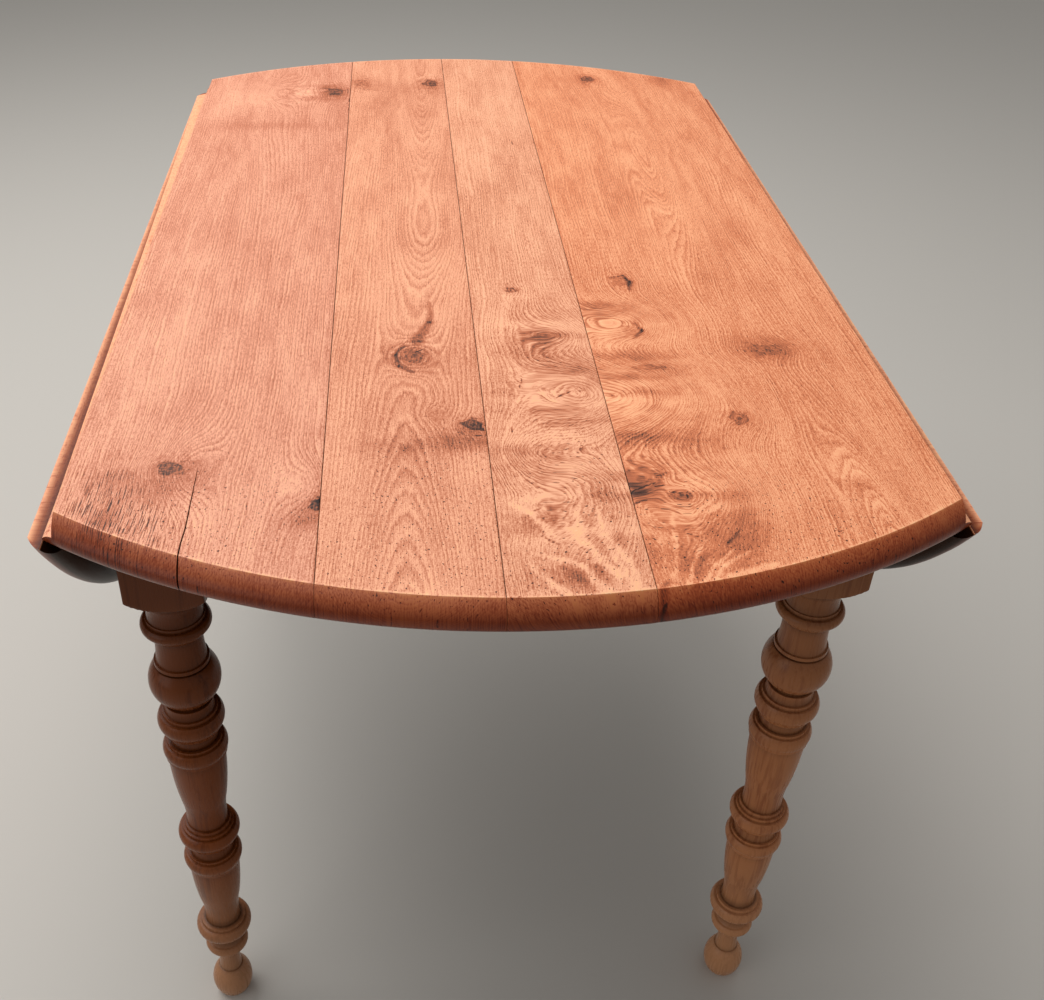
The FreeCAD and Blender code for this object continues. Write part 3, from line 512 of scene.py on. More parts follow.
def centreFloor(x, y, zLow, zHigh):
    # underside of the centre boards, raised over the hinge plates and their knuckles
    away = np.abs(x) - axisX
    plate = np.where(np.abs(x) < plateInner, zLow, underZ + board["hingePlate"])
    dome = axisZ + np.sqrt(np.maximum(board["knuckleRoom"] ** 2 - away ** 2, 0))
    room = np.where(away < -board["knuckleRoom"], plate, dome)
    return np.where(atHinge(y), np.clip(room, zLow, zHigh), zLow)


def leafFloor(x, y, zLow, zHigh):
    # underside of a raised leaf, let in for the long hinge plates
    plateEnd = axisX + leafPlateReach + board["hingeSlack"]
    room = np.where(x < plateEnd, underZ + board["hingePlate"], zLow)
    return np.where(atHinge(y), np.clip(room, zLow, zHigh), zLow)


def boardRows(x, zHigh, zLow, floorHeight, grain, groove=None):
    # each row is the outline of the board at one place across: along the top, round one nose,
    # back along the underside and up the other nose
    x, zHigh, zLow = (np.asarray(values)[:, None] for values in (x, zHigh, zLow))
    along = np.linspace(-1, 1, int(2 * topRadius / board["spacing"]))[None]
    turn = np.linspace(0, math.pi, board["noseSteps"] + 1)[None, 1:-1]
    floorLines = [np.linspace(-topRadius, topRadius, board["floorSteps"] + 1)]
    for low, high in hingeBoxes:
        floorLines += [low.y - board["hingeSlack"] + brink, high.y + board["hingeSlack"] + brink]
    stations = np.sort(np.concatenate(floorLines))[None, ::-1]

    def outline(top, nose, floor):
        # values for the four parts of every row: top, nose, underside and the other nose
        nose = np.broadcast_to(nose, turn.shape)
        return np.concatenate([along * 0 + top, nose, stations * 0 + floor, nose[:, ::-1]], 1)

    level = np.clip(noseZ + noseRadius * np.cos(turn), zLow, zHigh)
    nose, floorReach = reach(x, level), reach(x, zLow)
    floorY = np.clip(stations, -floorReach, floorReach)
    y = np.concatenate([along * reach(x, zHigh), nose, floorY, -nose[:, ::-1]], 1)
    x = np.broadcast_to(x, y.shape).copy()
    floorZ = floorHeight(x[:, :floorY.shape[1]], floorY, zLow, zHigh)
    topLine = np.broadcast_to(zHigh, (zHigh.size, along.size))
    z = np.concatenate([topLine, level, floorZ, level[:, ::-1]], 1)
    fields = grainFields(x, y, z, grain)

    # polish, rubbing and dirt, by where the outline is on the nose, in the rule joint or at a seam, with
    # painted shade on the nose and underside and painted light on the rule joint and the upper arris;
    # down the edges of the face the grain goes on with the depth
    inCentre = floorHeight is centreFloor
    way = turn / math.pi
    onNose = outline(0, 1, 0) > 0
    onTop = outline(1, 0, 0)
    pastAxis = np.abs(x) - axisX
    joint = ~onNose & (z > axisZ) & (pastAxis > hair if inCentre else pastAxis < board["jointBand"])
    seam = np.clip((topZ - z) / board["arris"], 0, 1) * (pastAxis < -board["jointBand"]) * inCentre
    # polish on the nose, also painted shade that grows towards the nose's bottom
    polishAndShade = (climb(way, *board["firstCoat"]) + climb(way, *board["secondCoat"])) / 2
    bareAndShadeShare = climb(way, *board["bareCentre" if inCentre else "bareLeaf"])
    fromArris = np.abs(np.hypot(x, y) - flatRadius) * (z > noseZ) + topRadius * (z <= noseZ)
    depth = groove(x, y) if groove else x * 0
    fields["patina"] = np.where(joint, 0, outline(0, polishAndShade, 1))
    # bare wood below the nose, which is also painted shade under the top and on the hanging leaves' sides
    fields["under"] = np.where(joint, 0, outline(0, bareAndShadeShare, 1))
    # painted light on the rule joint's faces, against the shade in the joint
    fields["tone"] = fields["tone"] + board["jointPale"] * joint
    fields["across"] = fields["across"] + np.where(onNose | (z < axisZ), 0, topZ - z)
    # pale line along the upper arris, partly rubbing and partly a painted highlight; painted light on the
    # rule joint's faces
    fields["worn"] = np.maximum(np.exp(-(fromArris / board["wornWidth"]) ** 2), board["jointWorn"] * joint)
    dirt = board["seamDark"] * seam * onTop
    fields["split"] = np.maximum(np.clip(depth / longSplit["darkDepth"], 0, 1), dirt)

    # the face sinks and the nose draws in by the wear and the groove
    inward = board["wear"] * (0.5 + noise("wear", x / mm, y / mm, grain)) + depth
    z = z - np.minimum(inward, z - zLow) * onTop
    y = y * (1 - inward * outline(0, np.sin(turn), 0) / topRadius)
    return x, y, z, fields


ease = np.linspace(0, math.pi / 2, board["easeSteps"] + 1)
easeIn = board["arris"] * (1 - np.sin(ease))  # distance from the edge, from the face outwards
easeDown = board["arris"] * (1 - np.cos(ease))  # drop below the face


def splitGroove(x, y):
    # vee that opens from nothing beside the knot to its full width at the front edge
    wander = drift(y / longSplit["wanderSize"], y * 0, longSplit["seed"])
    line = longSplit["x"] + longSplit["wander"] * wander
    opening = np.clip((longSplit["from"] - y) / (topRadius + longSplit["from"]), 0, 1) ** longSplit["power"]
    start = longSplit["startWidth"]
    half = longSplit["width"] * (start + (1 - start) * opening) / 2
    return longSplit["depth"] * opening * np.clip(1 - np.abs(x - line) / half, 0, 1)


def ruleRows():
    # rows of the rule joint's edge: eased arris, fillet, then the quarter-round ovolo
    quarter = np.linspace(math.pi / 2, 0, board["ruleSteps"] + 1)
    x = np.append(axisX - easeIn, axisX + ovolo * np.cos(quarter))
    zHigh = np.append(topZ - easeDown, axisZ + ovolo * np.sin(quarter))
    zLow = np.append(easeIn * 0 + underZ, np.maximum(underZ, axisZ - ovolo * np.sin(quarter)))
    return x, zHigh, zLow


def centreBoard(count, node):
    # rows across one board: its eased edges, or the rule joint's edge on the two outer boards, and an
    # even grid between, with more rows at the split and at the steps over the hinge plates
    low, high = centreBoxes[count][0].x, centreBoxes[count][1].x
    ruleX, ruleTop, ruleUnder = ruleRows()
    flat = np.full(ease.size, underZ)
    first = (low + easeIn[::-1], topZ - easeDown[::-1], flat)
    last = (high - easeIn, topZ - easeDown, flat)
    marks = []
    groove = None
    if count == 0:
        first = (-ruleX[::-1], ruleTop[::-1], ruleUnder[::-1])
        low = -axisX
        groove = splitGroove
        marks.append(longSplit["x"] + np.linspace(-longSplit["band"], longSplit["band"], longSplit["rows"]))
    if count == len(centreNodes) - 1:
        last = (ruleX, ruleTop, ruleUnder)
        high = axisX
    for sign in (-1, 1):
        for line in (plateInner, axisX - board["knuckleRoom"]):
            marks.append(sign * line + brink)
    inner, outer = low + board["arris"], high - board["arris"]
    marks.append(np.linspace(inner, outer, int((outer - inner) / board["spacing"]))[1:-1])
    middle = np.sort(np.concatenate(marks))
    middle = middle[(middle > inner) & (middle < outer)]
    rows = [first, (middle, middle * 0 + topZ, middle * 0 + underZ), last]
    x, zHigh, zLow = (np.concatenate(parts) for parts in zip(*rows))
    x, y, z, fields = boardRows(x, zHigh, zLow, centreFloor, boardGrain[node], groove)
    name = "plank" + node.replace("top_board", "").title().replace("_", "")
    return fit(addSurface(name, x, y, z, fields, board["sharp"]), node, "frame")


planks = {node: centreBoard(count, node) for count, node in enumerate(centreNodes)}
print("centre boards, faces:", [len(piece.data.polygons) for piece in planks.values()])


# Leaves, worked out raised and then hung from the hinge axis

def leafBoard(side, part):
    # rows across one board of a leaf as if raised: eased edges, rows that follow the round rim, the
    # cove over the ovolo; then a quarter turn about the hinge axis: across becomes down, up becomes out
    sign = -1 if side == "left" else 1
    node = "%s_leaf_%s" % (side, part)
    boxLow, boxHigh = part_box(node)
    start, end = axisX + axisZ - boxHigh.z, axisX + axisZ - boxLow.z  # across, when raised
    x = rimRadius * np.sin(np.linspace(math.asin(axisX / rimRadius), math.pi / 2, board["rimSteps"]))
    marks = [x, axisX + leafPlateReach + board["hingeSlack"] + brink]
    if part == "inner_board":
        marks.append(axisX + cove * np.cos(np.linspace(0, math.pi / 2, board["ruleSteps"] + 1)))
        marks.append(axisX + cove + brink)
    else:
        end = rimRadius
    middle = np.sort(np.concatenate(marks))
    inner, outer = start + board["arris"], end - (board["arris"] if part == "inner_board" else -hair)
    middle = middle[(middle > inner) & (middle < outer)]
    x = np.concatenate([start + easeIn[::-1], middle])
    zHigh = np.concatenate([topZ - easeDown[::-1], middle * 0 + topZ])
    if part == "inner_board":
        x = np.append(x, end - easeIn)
        zHigh = np.append(zHigh, topZ - easeDown)
    upper, lower = noseLevels[:widest + 1], noseLevels[:widest - 1:-1]
    zHigh = np.minimum(zHigh, np.interp(x, rim(upper), upper))
    hollow = np.sqrt(np.maximum(cove ** 2 - (x - axisX) ** 2, 0))
    zLow = np.where(x < axisX + cove, axisZ + hollow, np.interp(x, rim(lower), lower))
    grain = dict(boardGrain[part])
    grain["seed"] += board["rightSeeds"] if side == "right" else 0
    x, y, z, fields = boardRows(x, zHigh, zLow, leafFloor, grain)
    hungX, hungZ = sign * (axisX + z - axisZ), axisZ - (x - axisX)
    name = "leaf" + (side + "_" + part.replace("_board", "")).title().replace("_", "")
    piece = addSurface(name, hungX, y, hungZ, fields, board["sharp"])
    return fit(piece, node, side + "_leaf")


leaves = {}
for side in ("left", "right"):
    for part in ("inner_board", "outer_board"):
        leaves[side, part] = leafBoard(side, part)
print("leaf boards, faces:", [len(piece.data.polygons) for piece in leaves.values()])


# Turned legs

leg = {
    "rowStep": 1.0 * mm,  # grid step along the outline, and up the plain block
    "blockStep": 8 * mm,
    "columns": 64,  # grid steps round the leg
    "cornerSpread": (-2.4, -1.2, 1.2, 2.4),  # degrees beside each corner of the block
    "cornerPower": 44,  # the higher, the crisper the block's corners
    "smoothing": 8 * mm,  # hollows and crests are measured against the outline smoothed by this
    "smoothReach": 30,  # it is smoothed over this many millimetres each way
    "cap": 1.08,  # and first cut off at this share of the half block
    "hollowDepth": 3.6 * mm,  # a hollow this deep is fully darkened
    "sharp": 30,
    # from the floor up: height share, radius share, rise of the curve to the next point as a share of
    # its chord (positive swells, negative hollows)
    "outline": [
        (0.000, 0.425, 0.175), (0.074, 0.400, 0), (0.0745, 0.365, 0),  # foot
        (0.080, 0.360, -0.05), (0.136, 0.400, 0),
        (0.1365, 0.560, 0), (0.142, 0.620, 0.20), (0.160, 0.600, 0),  # ring
        (0.161, 0.540, -0.12), (0.183, 0.440, 0),
        (0.184, 0.640, 0), (0.193, 0.740, 0.22), (0.219, 0.770, 0),  # ring
        (0.2195, 0.690, 0), (0.226, 0.680, 0), (0.2265, 0.555, 0),  # fillet
        (0.234, 0.525, -0.03), (0.290, 0.620, 0.02), (0.384, 0.740, 0),  # column
        (0.3845, 0.800, 0), (0.391, 0.815, 0.175), (0.413, 0.790, 0),  # ring
        (0.4135, 0.735, 0), (0.419, 0.730, 0), (0.4195, 0.655, -0.05), (0.446, 0.650, 0),  # fillet
        (0.4465, 0.780, 0), (0.453, 0.830, 0.18), (0.477, 0.820, 0),  # ring
        (0.4775, 0.750, 0), (0.484, 0.745, 0), (0.4845, 0.680, 0),  # fillets
        (0.491, 0.665, 0), (0.4915, 0.600, 0),
        (0.501, 0.590, -0.03), (0.550, 0.660, 0.02), (0.654, 0.800, 0),  # column
        (0.6545, 0.860, 0), (0.660, 0.860, 0.14), (0.684, 0.830, 0),  # collar
        (0.6845, 0.770, 0), (0.690, 0.765, 0), (0.6905, 0.670, 0), (0.711, 0.660, 0),  # fillet
        (0.7115, 0.780, 0), (0.718, 0.830, 0.16), (0.747, 0.840, 0),  # ring
        (0.7475, 0.765, 0), (0.754, 0.755, 0), (0.7545, 0.690, -0.06),  # fillet
        (0.771, 0.660, 0), (0.7715, 0.590, 0),
        (0.777, 0.610, 0.215), (0.850, 0.750, 0), (0.8505, 0.690, 0),  # ball
        (0.853, 0.690, 0), (0.8535, 0.740, 0), (0.859, 0.730, 0),  # fillet
        (0.8595, 0.680, -0.03), (0.914, 0.650, 0),  # neck
        (0.9145, 0.760, 0), (0.919, 0.800, 0.30), (0.938, 0.840, 0),  # ring
        (0.9385, 0.775, 0), (0.9445, 0.770, 0), (0.945, 0.735, -0.06),  # fillet
        (0.975, 0.760, -0.12), (0.990, 0.880, 0.10), (1.010, 1.430, 0),  # shoulder
    ],
    "blockDrop": 18 * mm,  # the block hangs this far below the aprons
}
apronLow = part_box("front_apron")[0].z
legLow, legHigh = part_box("front_left_leg")
halfBlock = (legHigh.x - legLow.x) / 2
turnedHeight = apronLow - leg["blockDrop"]


def legOutline():
    # radius and height along the outline: each step of it is a straight or a circular arc, whose
    # half angle is twice the arc tangent of twice its rise share
    radii, heights = [], []
    points = [(r * halfBlock, h * turnedHeight, rise) for h, r, rise in leg["outline"]]
    points.append((points[-1][0], legHigh.z, 0))
    for (r0, h0, rise), (r1, h1, _) in zip(points, points[1:]):
        chord = math.hypot(r1 - r0, h1 - h0)
        step = leg["rowStep"] if rise or h1 < legHigh.z else leg["blockStep"]
        share = np.linspace(-1, 1, max(3, int(chord / step) + 2))[:-1]
        half = 2 * math.atan(2 * rise)
        run = np.sin(share * half) / math.sin(half) if rise else share
        bulge = chord / 2 * (np.cos(share * half) - math.cos(half)) / math.sin(half) if rise else share * 0
        radii.append((r0 + r1) / 2 + (r1 - r0) / 2 * run + bulge * (h1 - h0) / chord)
        heights.append((h0 + h1) / 2 + (h1 - h0) / 2 * run - bulge * (r1 - r0) / chord)
    radii.append([points[-1][0]])
    heights.append([legHigh.z])
    return np.concatenate(radii), np.concatenate(heights)


def legSurface(place):
    # radius round the leg: the turned outline, cut by the square stick of the block; hollows and crests
    # are what the outline lies inside or outside of its own smoothed run
    radii, heights = legOutline()
    even = np.arange(0, legHigh.z, mm)
    reachOut, mostRadius = leg["smoothReach"], halfBlock * leg["cap"]
    kernel = np.exp(-(np.arange(-reachOut, reachOut + 1) * mm / leg["smoothing"]) ** 2)
    capped = np.minimum(np.interp(even, heights, radii), mostRadius)
    smooth = np.convolve(np.pad(capped, reachOut, mode="edge"), kernel / kernel.sum(), mode="valid")
    hollow = (np.interp(heights, even, smooth) - np.minimum(radii, mostRadius)) / leg["hollowDepth"]
    angles = np.linspace(0, 360, leg["columns"], endpoint=False)
    beside = [corner + spread for corner in range(45, 360, 90) for spread in leg["cornerSpread"]]
    angles = np.radians(np.sort(np.append(angles, beside)))[None]
    power = leg["cornerPower"]
    square = halfBlock / (np.abs(np.cos(angles)) ** power + np.abs(np.sin(angles)) ** power) ** (1 / power)
    radius = np.minimum(radii[:, None], square)
    low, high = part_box(place)
    x = (low.x + high.x) / 2 + radius * np.cos(angles)
    y = (low.y + high.y) / 2 + radius * np.sin(angles)
    z = np.broadcast_to(heights[:, None], x.shape)
    fields = {"hollow": np.broadcast_to(np.clip(hollow, 0, 1)[:, None], x.shape),
              "crest": np.broadcast_to(np.clip(-hollow, 0, 1)[:, None], x.shape)}
    return x, y, z, fields


legs = {}
for end in ("front", "rear"):
    for side in ("left", "right"):
        node = "%s_%s_leg" % (end, side)
        name = "leg" + end.title() + side.title()
        legs[node] = fit(addSurface(name, *legSurface(node), leg["sharp"]), node, "frame")
print("legs, faces each:", len(legs["front_left_leg"].data.polygons))


# Materials

noiseLow, noiseHigh = 0.3, 0.7  # most values of a noise node lie between these

elm = {
    "ringSpacing": 2.7 * mm,
    "ringUneven": 13 * mm,  # rings are close and wide in turn over this distance
    "unevenShift": 2.6,  # by how many rings
    "jitterShift": 0.8,  # and how far the lines waver, in rings
    # noise drawn out along the grain: field across it, width, length, detail
    "noises": {
        "lineGain": ("ring", 7 * mm, 90 * mm, 2.0),
        "fibre": ("across", 0.9 * mm, 30 * mm, 2.0),  # finer in the real wood, coarse enough to show
        "pore": ("across", 0.8 * mm, 5 * mm, 1.0),  # the same
        "jitter": ("across", 4.5 * mm, 26 * mm, 2.0),
        "grit": ("across", 1.0 * mm, 1.6 * mm, 0.0),
        "scratch": ("across", 0.9 * mm, 22 * mm, 1.0),
        "speck": ("across", 2.0 * mm, 2.6 * mm, 1.0),
        "ragged": ("across", 6 * mm, 6 * mm, 4.0),
    },
    # what each noise adds to the tone: noise, from, to, added at from, added at to, field that limits it
    "marks": [
        ("fibre", 0.30, 0.70, 0.055, -0.055, None),
        ("pore", 0.56, 0.70, 0.0, -0.12, None),
        ("pore", 0.44, 0.30, 0.0, 0.09, None),
        ("grit", 0.30, 0.70, -0.05, 0.05, None),
        ("scratch", 0.55, 0.60, 0.0, -0.36, "scratches"),
        ("speck", 0.67, 0.71, 0.0, -0.42, "pits"),
        # pale ragged marks along the upper arris, partly rubbing and partly a painted highlight, and
        # painted light in the rule joint
        ("ragged", 0.36, 0.62, 0.0, 0.24, "worn"),
    ],
    # profile of one ring from its pale early wood to the dark line that ends it
    "ringProfile": [(0.0, 0.60), (0.16, 0.84), (0.34, 0.62), (0.60, 0.46), (0.80, 0.16), (0.90, 0.20),
                    (1.0, 0.60)],
    "ringStrength": (0.05, 0.30),
    # darkness from the middle of a knot outwards; one half width covers this share of it, at least and
    # at most, so that the outline is ragged
    "knotProfile": [(0.0, 0.46), (0.06, 0.42), (0.10, 0.26), (0.18, 0.34), (0.24, 0.38), (0.29, 0.14),
                    (0.46, 0.05), (0.75, 0.0)],
    "knotRagged": (0.17, 0.36),
    "crackEdge": (1.8, 0.6),  # half widths from a fine crack at which its dark begins and is full
    "crackDark": 0.30,
    # colours by tone, from charred to bleached; each board's own shade and light lie between
    "darkStops": [(0.0, "#24100A"), (0.17, "#6A3E2C"), (0.33, "#BA6742")],
    "boardStops": (0.44, 0.58),
    "paleStops": [(0.74, "#FFBE8C"), (1.0, "#FFD4AC")],
    "patina": "#BC987C",  # one coat of old polish, which also stands in as painted shade; the lower half of the nose has two, so it is darker towards the bottom
    # bare underside, darkened also as painted shade under the top and on the hanging leaves
    "under": "#2C180D",
    "split": "#140904",
    "roughness": 0.48,
    "polishGloss": 0.16,  # how much smoother the polish is
    "specular": 0.24,
    "underSpecular": 0.08,
    "bump": (0.35, 0.5 * mm),  # strength, height
}
# shade and light of each board
elmTones = {
    "top_board_left": ("#CF8060", "#F4AC8B"),
    "top_board_mid_left": ("#D58662", "#F9B08A"),
    "top_board_mid_right": ("#DA8D68", "#FEB992"),
    "top_board_right": ("#D87E53", "#FCAD80"),
    "inner_board": ("#D17E58", "#F6AB82"),
    "outer_board": ("#CC7850", "#F0A278"),
}


def oiledElm(name, shade, light):
    # oiled elm, planed by hand and worn: thin pale and red-brown ring lines that flow round dark knots,
    # open pores as fine dashes; the handled nose is redder, darker and glossier than the face, its darkness
    # partly old polish and partly painted shade; painted shade also on the bare underside, painted light
    # on the rule joint, and a pale line along the upper arris that is partly rubbing, partly a painted
    # highlight
    material, add, place = startMaterial(name)
    alongBoard = add("SeparateXYZ", {0: place}, output="Y")
    fieldNames = ("ring", "across", "tone", "lines", "knotAway", "knot", "crackAway", "pits", "scratches",
                  "split", "patina", "under", "worn")
    fields = {field: add("Attribute", output="Fac", attribute_name=field) for field in fieldNames}
    noises = {}
    for label, (field, width, length, detail) in elm["noises"].items():
        wide = add("Math", {0: fields[field], 1: 1 / width}, operation="MULTIPLY")
        far = add("Math", {0: alongBoard, 1: 1 / length}, operation="MULTIPLY")
        at = add("CombineXYZ", {0: wide, 1: far})
        noises[label] = add("TexNoise", {"Vector": at, "Scale": 1.0, "Detail": detail})

    # ring lines: uneven in width, stronger and weaker along the board
    ringAt = add("Math", {0: fields["ring"], 1: 1 / elm["ringUneven"]}, operation="MULTIPLY")
    uneven = add("TexNoise", {"W": ringAt, "Scale": 1.0}, noise_dimensions="1D")
    ringCount = add("Math", {0: fields["ring"], 1: 1 / elm["ringSpacing"]}, operation="MULTIPLY")
    for waver, shift in ((uneven, elm["unevenShift"]), (noises["jitter"], elm["jitterShift"])):
        ringCount = add("Math", {0: waver, 1: shift, 2: ringCount}, operation="MULTIPLY_ADD")
    saw = add("Math", {0: ringCount}, operation="FRACT")
    profile = add("ValToRGB", {0: saw}, stops=elm["ringProfile"])
    weak, strong = elm["ringStrength"]
    gain = add("MapRange", {0: noises["lineGain"], 1: noiseLow, 2: noiseHigh, 3: weak, 4: strong})
    gain = add("Math", {0: gain, 1: fields["lines"]}, operation="MULTIPLY")
    centred = add("Math", {0: profile, 1: 0.5}, operation="SUBTRACT")
    tone = add("Math", {0: centred, 1: gain, 2: fields["tone"]}, operation="MULTIPLY_ADD")

    # fibres, pores, scratches and specks
    for label, low, high, atLow, atHigh, limit in elm["marks"]:
        mark = add("MapRange", {0: noises[label], 1: low, 2: high, 3: atLow, 4: atHigh})
        share = fields[limit] if limit else 1.0
        tone = add("Math", {0: mark, 1: share, 2: tone}, operation="MULTIPLY_ADD")

    # knots: brown middle, dark bark round it, stained grain outside; then the fine cracks
    least, most = elm["knotRagged"]
    edge = add("MapRange", {0: noises["ragged"], 1: noiseLow, 2: noiseHigh, 3: least, 4: most})
    knotAt = add("Math", {0: fields["knotAway"], 1: edge}, operation="MULTIPLY")
    knotDark = add("ValToRGB", {0: knotAt}, stops=elm["knotProfile"])
    knotDark = add("Math", {0: knotDark, 1: fields["knot"]}, operation="MULTIPLY")
    begins, full = elm["crackEdge"]
    crackDark = add("MapRange", {0: fields["crackAway"], 1: begins, 2: full, 4: elm["crackDark"]})
    for dark in (knotDark, crackDark):
        tone = add("Math", {0: tone, 1: dark}, operation="SUBTRACT")

    paints = [*elm["darkStops"], *zip(elm["boardStops"], (shade, light)), *elm["paleStops"]]
    colour = add("ValToRGB", {0: tone}, stops=[(at, tint(paint)) for at, paint in paints])
    # handled edge, each half of the patina one coat, which also paints shade on the nose; bare underside
    # with painted shade; inside of the long split
    for begins, full in ((0.0, 0.5), (0.5, 1.0)):
        coatAndShade = add("MapRange", {0: fields["patina"], 1: begins, 2: full})
        colour = add("Mix", {0: coatAndShade, 6: colour, 7: tint(elm["patina"])}, 2,
                     data_type="RGBA", blend_type="MULTIPLY")
    for share, paint in ((fields["under"], elm["under"]), (fields["split"], elm["split"])):
        colour = add("Mix", {0: share, 6: colour, 7: tint(paint)}, 2, data_type="RGBA")
    gloss = add("Math", {0: fields["patina"], 1: -elm["polishGloss"], 2: elm["roughness"]},
                operation="MULTIPLY_ADD")
    sheen = add("MapRange", {0: fields["under"], 3: elm["specular"], 4: elm["underSpecular"]})
    endMaterial(add, elm, tone, {"Base Color": colour, "Roughness": gloss, "Specular IOR Level": sheen})
    return material


for node, piece in planks.items():
    piece.data.materials.append(oiledElm("oiledElm_" + node, *elmTones[node]))
for part in ("inner_board", "outer_board"):
    finish = oiledElm("oiledElm_leaf_" + part, *elmTones[part])
    for side in ("left", "right"):
        leaves[side, part].data.materials.append(finish)


waxed = {
    # noise drawn out along the piece: width, length, detail
    "noises": {
        "grain": (3.2 * mm, 110 * mm, 3.0),
        "fibre": (0.8 * mm, 22 * mm, 2.0),  # finer in the real wood, coarse enough here to show
        "figure": (34 * mm, 120 * mm, 2.0),
    },
    "colourRange": (0.70, 1.0),  # sums of grain and figure that give the dark and the mid colour
    "fibreRange": (0.52, 0.72),  # noise at which a fibre begins to show, and is darkest
    "fibreDark": 0.10,
    # dirt and painted shade in the hollows of the turning
    "dirtShare": 0.9,
    "rubShare": 0.15,
    # dust and painted light on the lower legs, fading out at this height
    "dust": "#D0A078",
    "dustHeight": 260 * mm,
    "smoke": "#341608",  # painted shade of the table top on the legs, darker towards their top, from one height to the other
    "smokeRange": (330 * mm, 600 * mm),
    "smokeShare": 0.5,
    "specular": 0.17,
    "glossSpread": 0.12,
    "bump": (0.06, 0.3 * mm),  # strength, height
}


def waxedWood(name, look, axis):
    # fruitwood or oak under old wax: close straight grain along the piece, dark dirt and painted shade in
    # the hollows of the turning, crests rubbed pale, dust and painted light near the floor, painted shade
    # towards the top of the legs, a soft gloss; the axis is the one along which the grain runs
    material, add, place = startMaterial(name)
    height = add("SeparateXYZ", {0: place}, output="Z")
    hollow = add("Attribute", output="Fac", attribute_name="hollow")
    crest = add("Attribute", output="Fac", attribute_name="crest")
    noises = {}
    for label, (width, length, detail) in waxed["noises"].items():
        scale = [1 / width] * 3
        scale[axis] = 1 / length
        at = add("Mapping", {"Vector": place, "Scale": scale})
        noises[label] = add("TexNoise", {"Vector": at, "Scale": 1.0, "Detail": detail})
    mixed = add("Math", {0: noises["grain"], 1: noises["figure"]}, operation="ADD")
    paints = zip(waxed["colourRange"], (look["dark"], look["mid"]))
    colour = add("ValToRGB", {0: mixed}, stops=[(at, tint(paint)) for at, paint in paints])
    begins, full = waxed["fibreRange"]
    fibreShare = add("MapRange", {0: noises["fibre"], 1: begins, 2: full, 4: waxed["fibreDark"]})
    dirtShare = add("Math", {0: hollow, 1: waxed["dirtShare"]}, operation="MULTIPLY")
    rubShare = add("Math", {0: crest, 1: waxed["rubShare"]}, operation="MULTIPLY")
    dustAndLightShare = add("MapRange", {0: height, 2: waxed["dustHeight"], 3: look["dusty"], 4: 0.0})
    begins, full = waxed["smokeRange"]
    smokeShare = add("MapRange", {0: height, 1: begins, 2: full, 4: waxed["smokeShare"]})
    layers = ((fibreShare, look["dark"]), (rubShare, look["light"]), (dustAndLightShare, waxed["dust"]),
              (smokeShare, waxed["smoke"]), (dirtShare, look["dirt"]))
    for share, paint in layers:
        colour = add("Mix", {0: share, 6: colour, 7: tint(paint)}, 2, data_type="RGBA")
    dull = look["gloss"] + waxed["glossSpread"]
    gloss = add("MapRange", {0: noises["grain"], 1: noiseLow, 2: noiseHigh, 3: look["gloss"], 4: dull})
    endMaterial(add, waxed, noises["fibre"], {
        "Base Color": colour, "Roughness": gloss, "Specular IOR Level": waxed["specular"]})
    return material


# colours, share of dust and painted light at the floor, roughness; dirt is the colour of the dirt and
# painted shade in the hollows
cherry = {"dark": "#5A2C10", "mid": "#8A4C22", "light": "#B07448", "dirt": "#1A0802",
          "dusty": 0.5, "gloss": 0.22}
# lit and shaded copies of the cherry: painted shade on the left legs, painted light on the right legs
shadedCherry = cherry | {"dark": "#602C10", "mid": "#7A3E1A", "light": "#945A34"}
litCherry = cherry | {"dark": "#985A38", "mid": "#B4744A", "light": "#C88E64"}
oak = {"dark": "#6B4A2C", "mid": "#94704A", "light": "#B08C62", "dirt": "#2A1A0E",
       "dusty": 0.0, "gloss": 0.55}
pegOak = {"dark": "#3A2414", "mid": "#5E3C22", "light": "#7A5434", "dirt": "#1E0D06",
          "dusty": 0.0, "gloss": 0.45}

metals = {
    "blackenedIron": {"base": "#3B3530", "worn": "#6E655C", "rust": "#5A3420", "rough": 0.52},
    "brightSteel": {"base": "#8C8782", "worn": "#B4AFA8", "rust": "#6A4A34", "rough": 0.38},
}
metalWear = {
    "patchSize": 9 * mm,
    "rubbed": (0.42, 0.66),  # noise at which a patch begins to be rubbed bright, and is wholly so
    "freckleSize": 4 * mm,
    "rusty": (0.56, 0.70),  # the same for the freckles of rust
    "rustShare": 0.8,
    "rustMetallic": 0.2,
    "roughSpread": 0.2,
    "bump": (0.2, 0.2 * mm),  # strength, height
}


def oldMetal(name, look):
    # forged or turned metal: dull grey with rubbed bright patches and freckles of rust
    material, add, place = startMaterial(name)
    wear = metalWear
    patches = add("TexNoise", {"Vector": place, "Scale": 1 / wear["patchSize"], "Detail": 5.0})
    freckles = add("TexNoise", {"Vector": place, "Scale": 1 / wear["freckleSize"], "Detail": 4.0})
    begins, full = wear["rubbed"]
    rubbed = add("MapRange", {0: patches, 1: begins, 2: full})
    begins, full = wear["rusty"]
    rusty = add("MapRange", {0: freckles, 1: begins, 2: full, 4: wear["rustShare"]})
    colour = tint(look["base"])
    for share, paint in ((rubbed, look["worn"]), (rusty, look["rust"])):
        colour = add("Mix", {0: share, 6: colour, 7: tint(paint)}, 2, data_type="RGBA")
    metallic = add("MapRange", {0: rusty, 2: wear["rustShare"], 3: 1.0, 4: wear["rustMetallic"]})
    dull = look["rough"] + wear["roughSpread"]
    rough = add("MapRange", {0: freckles, 1: noiseLow, 2: noiseHigh, 3: look["rough"], 4: dull})
    endMaterial(add, wear, patches, {"Base Color": colour, "Metallic": metallic, "Roughness": rough})
    return material


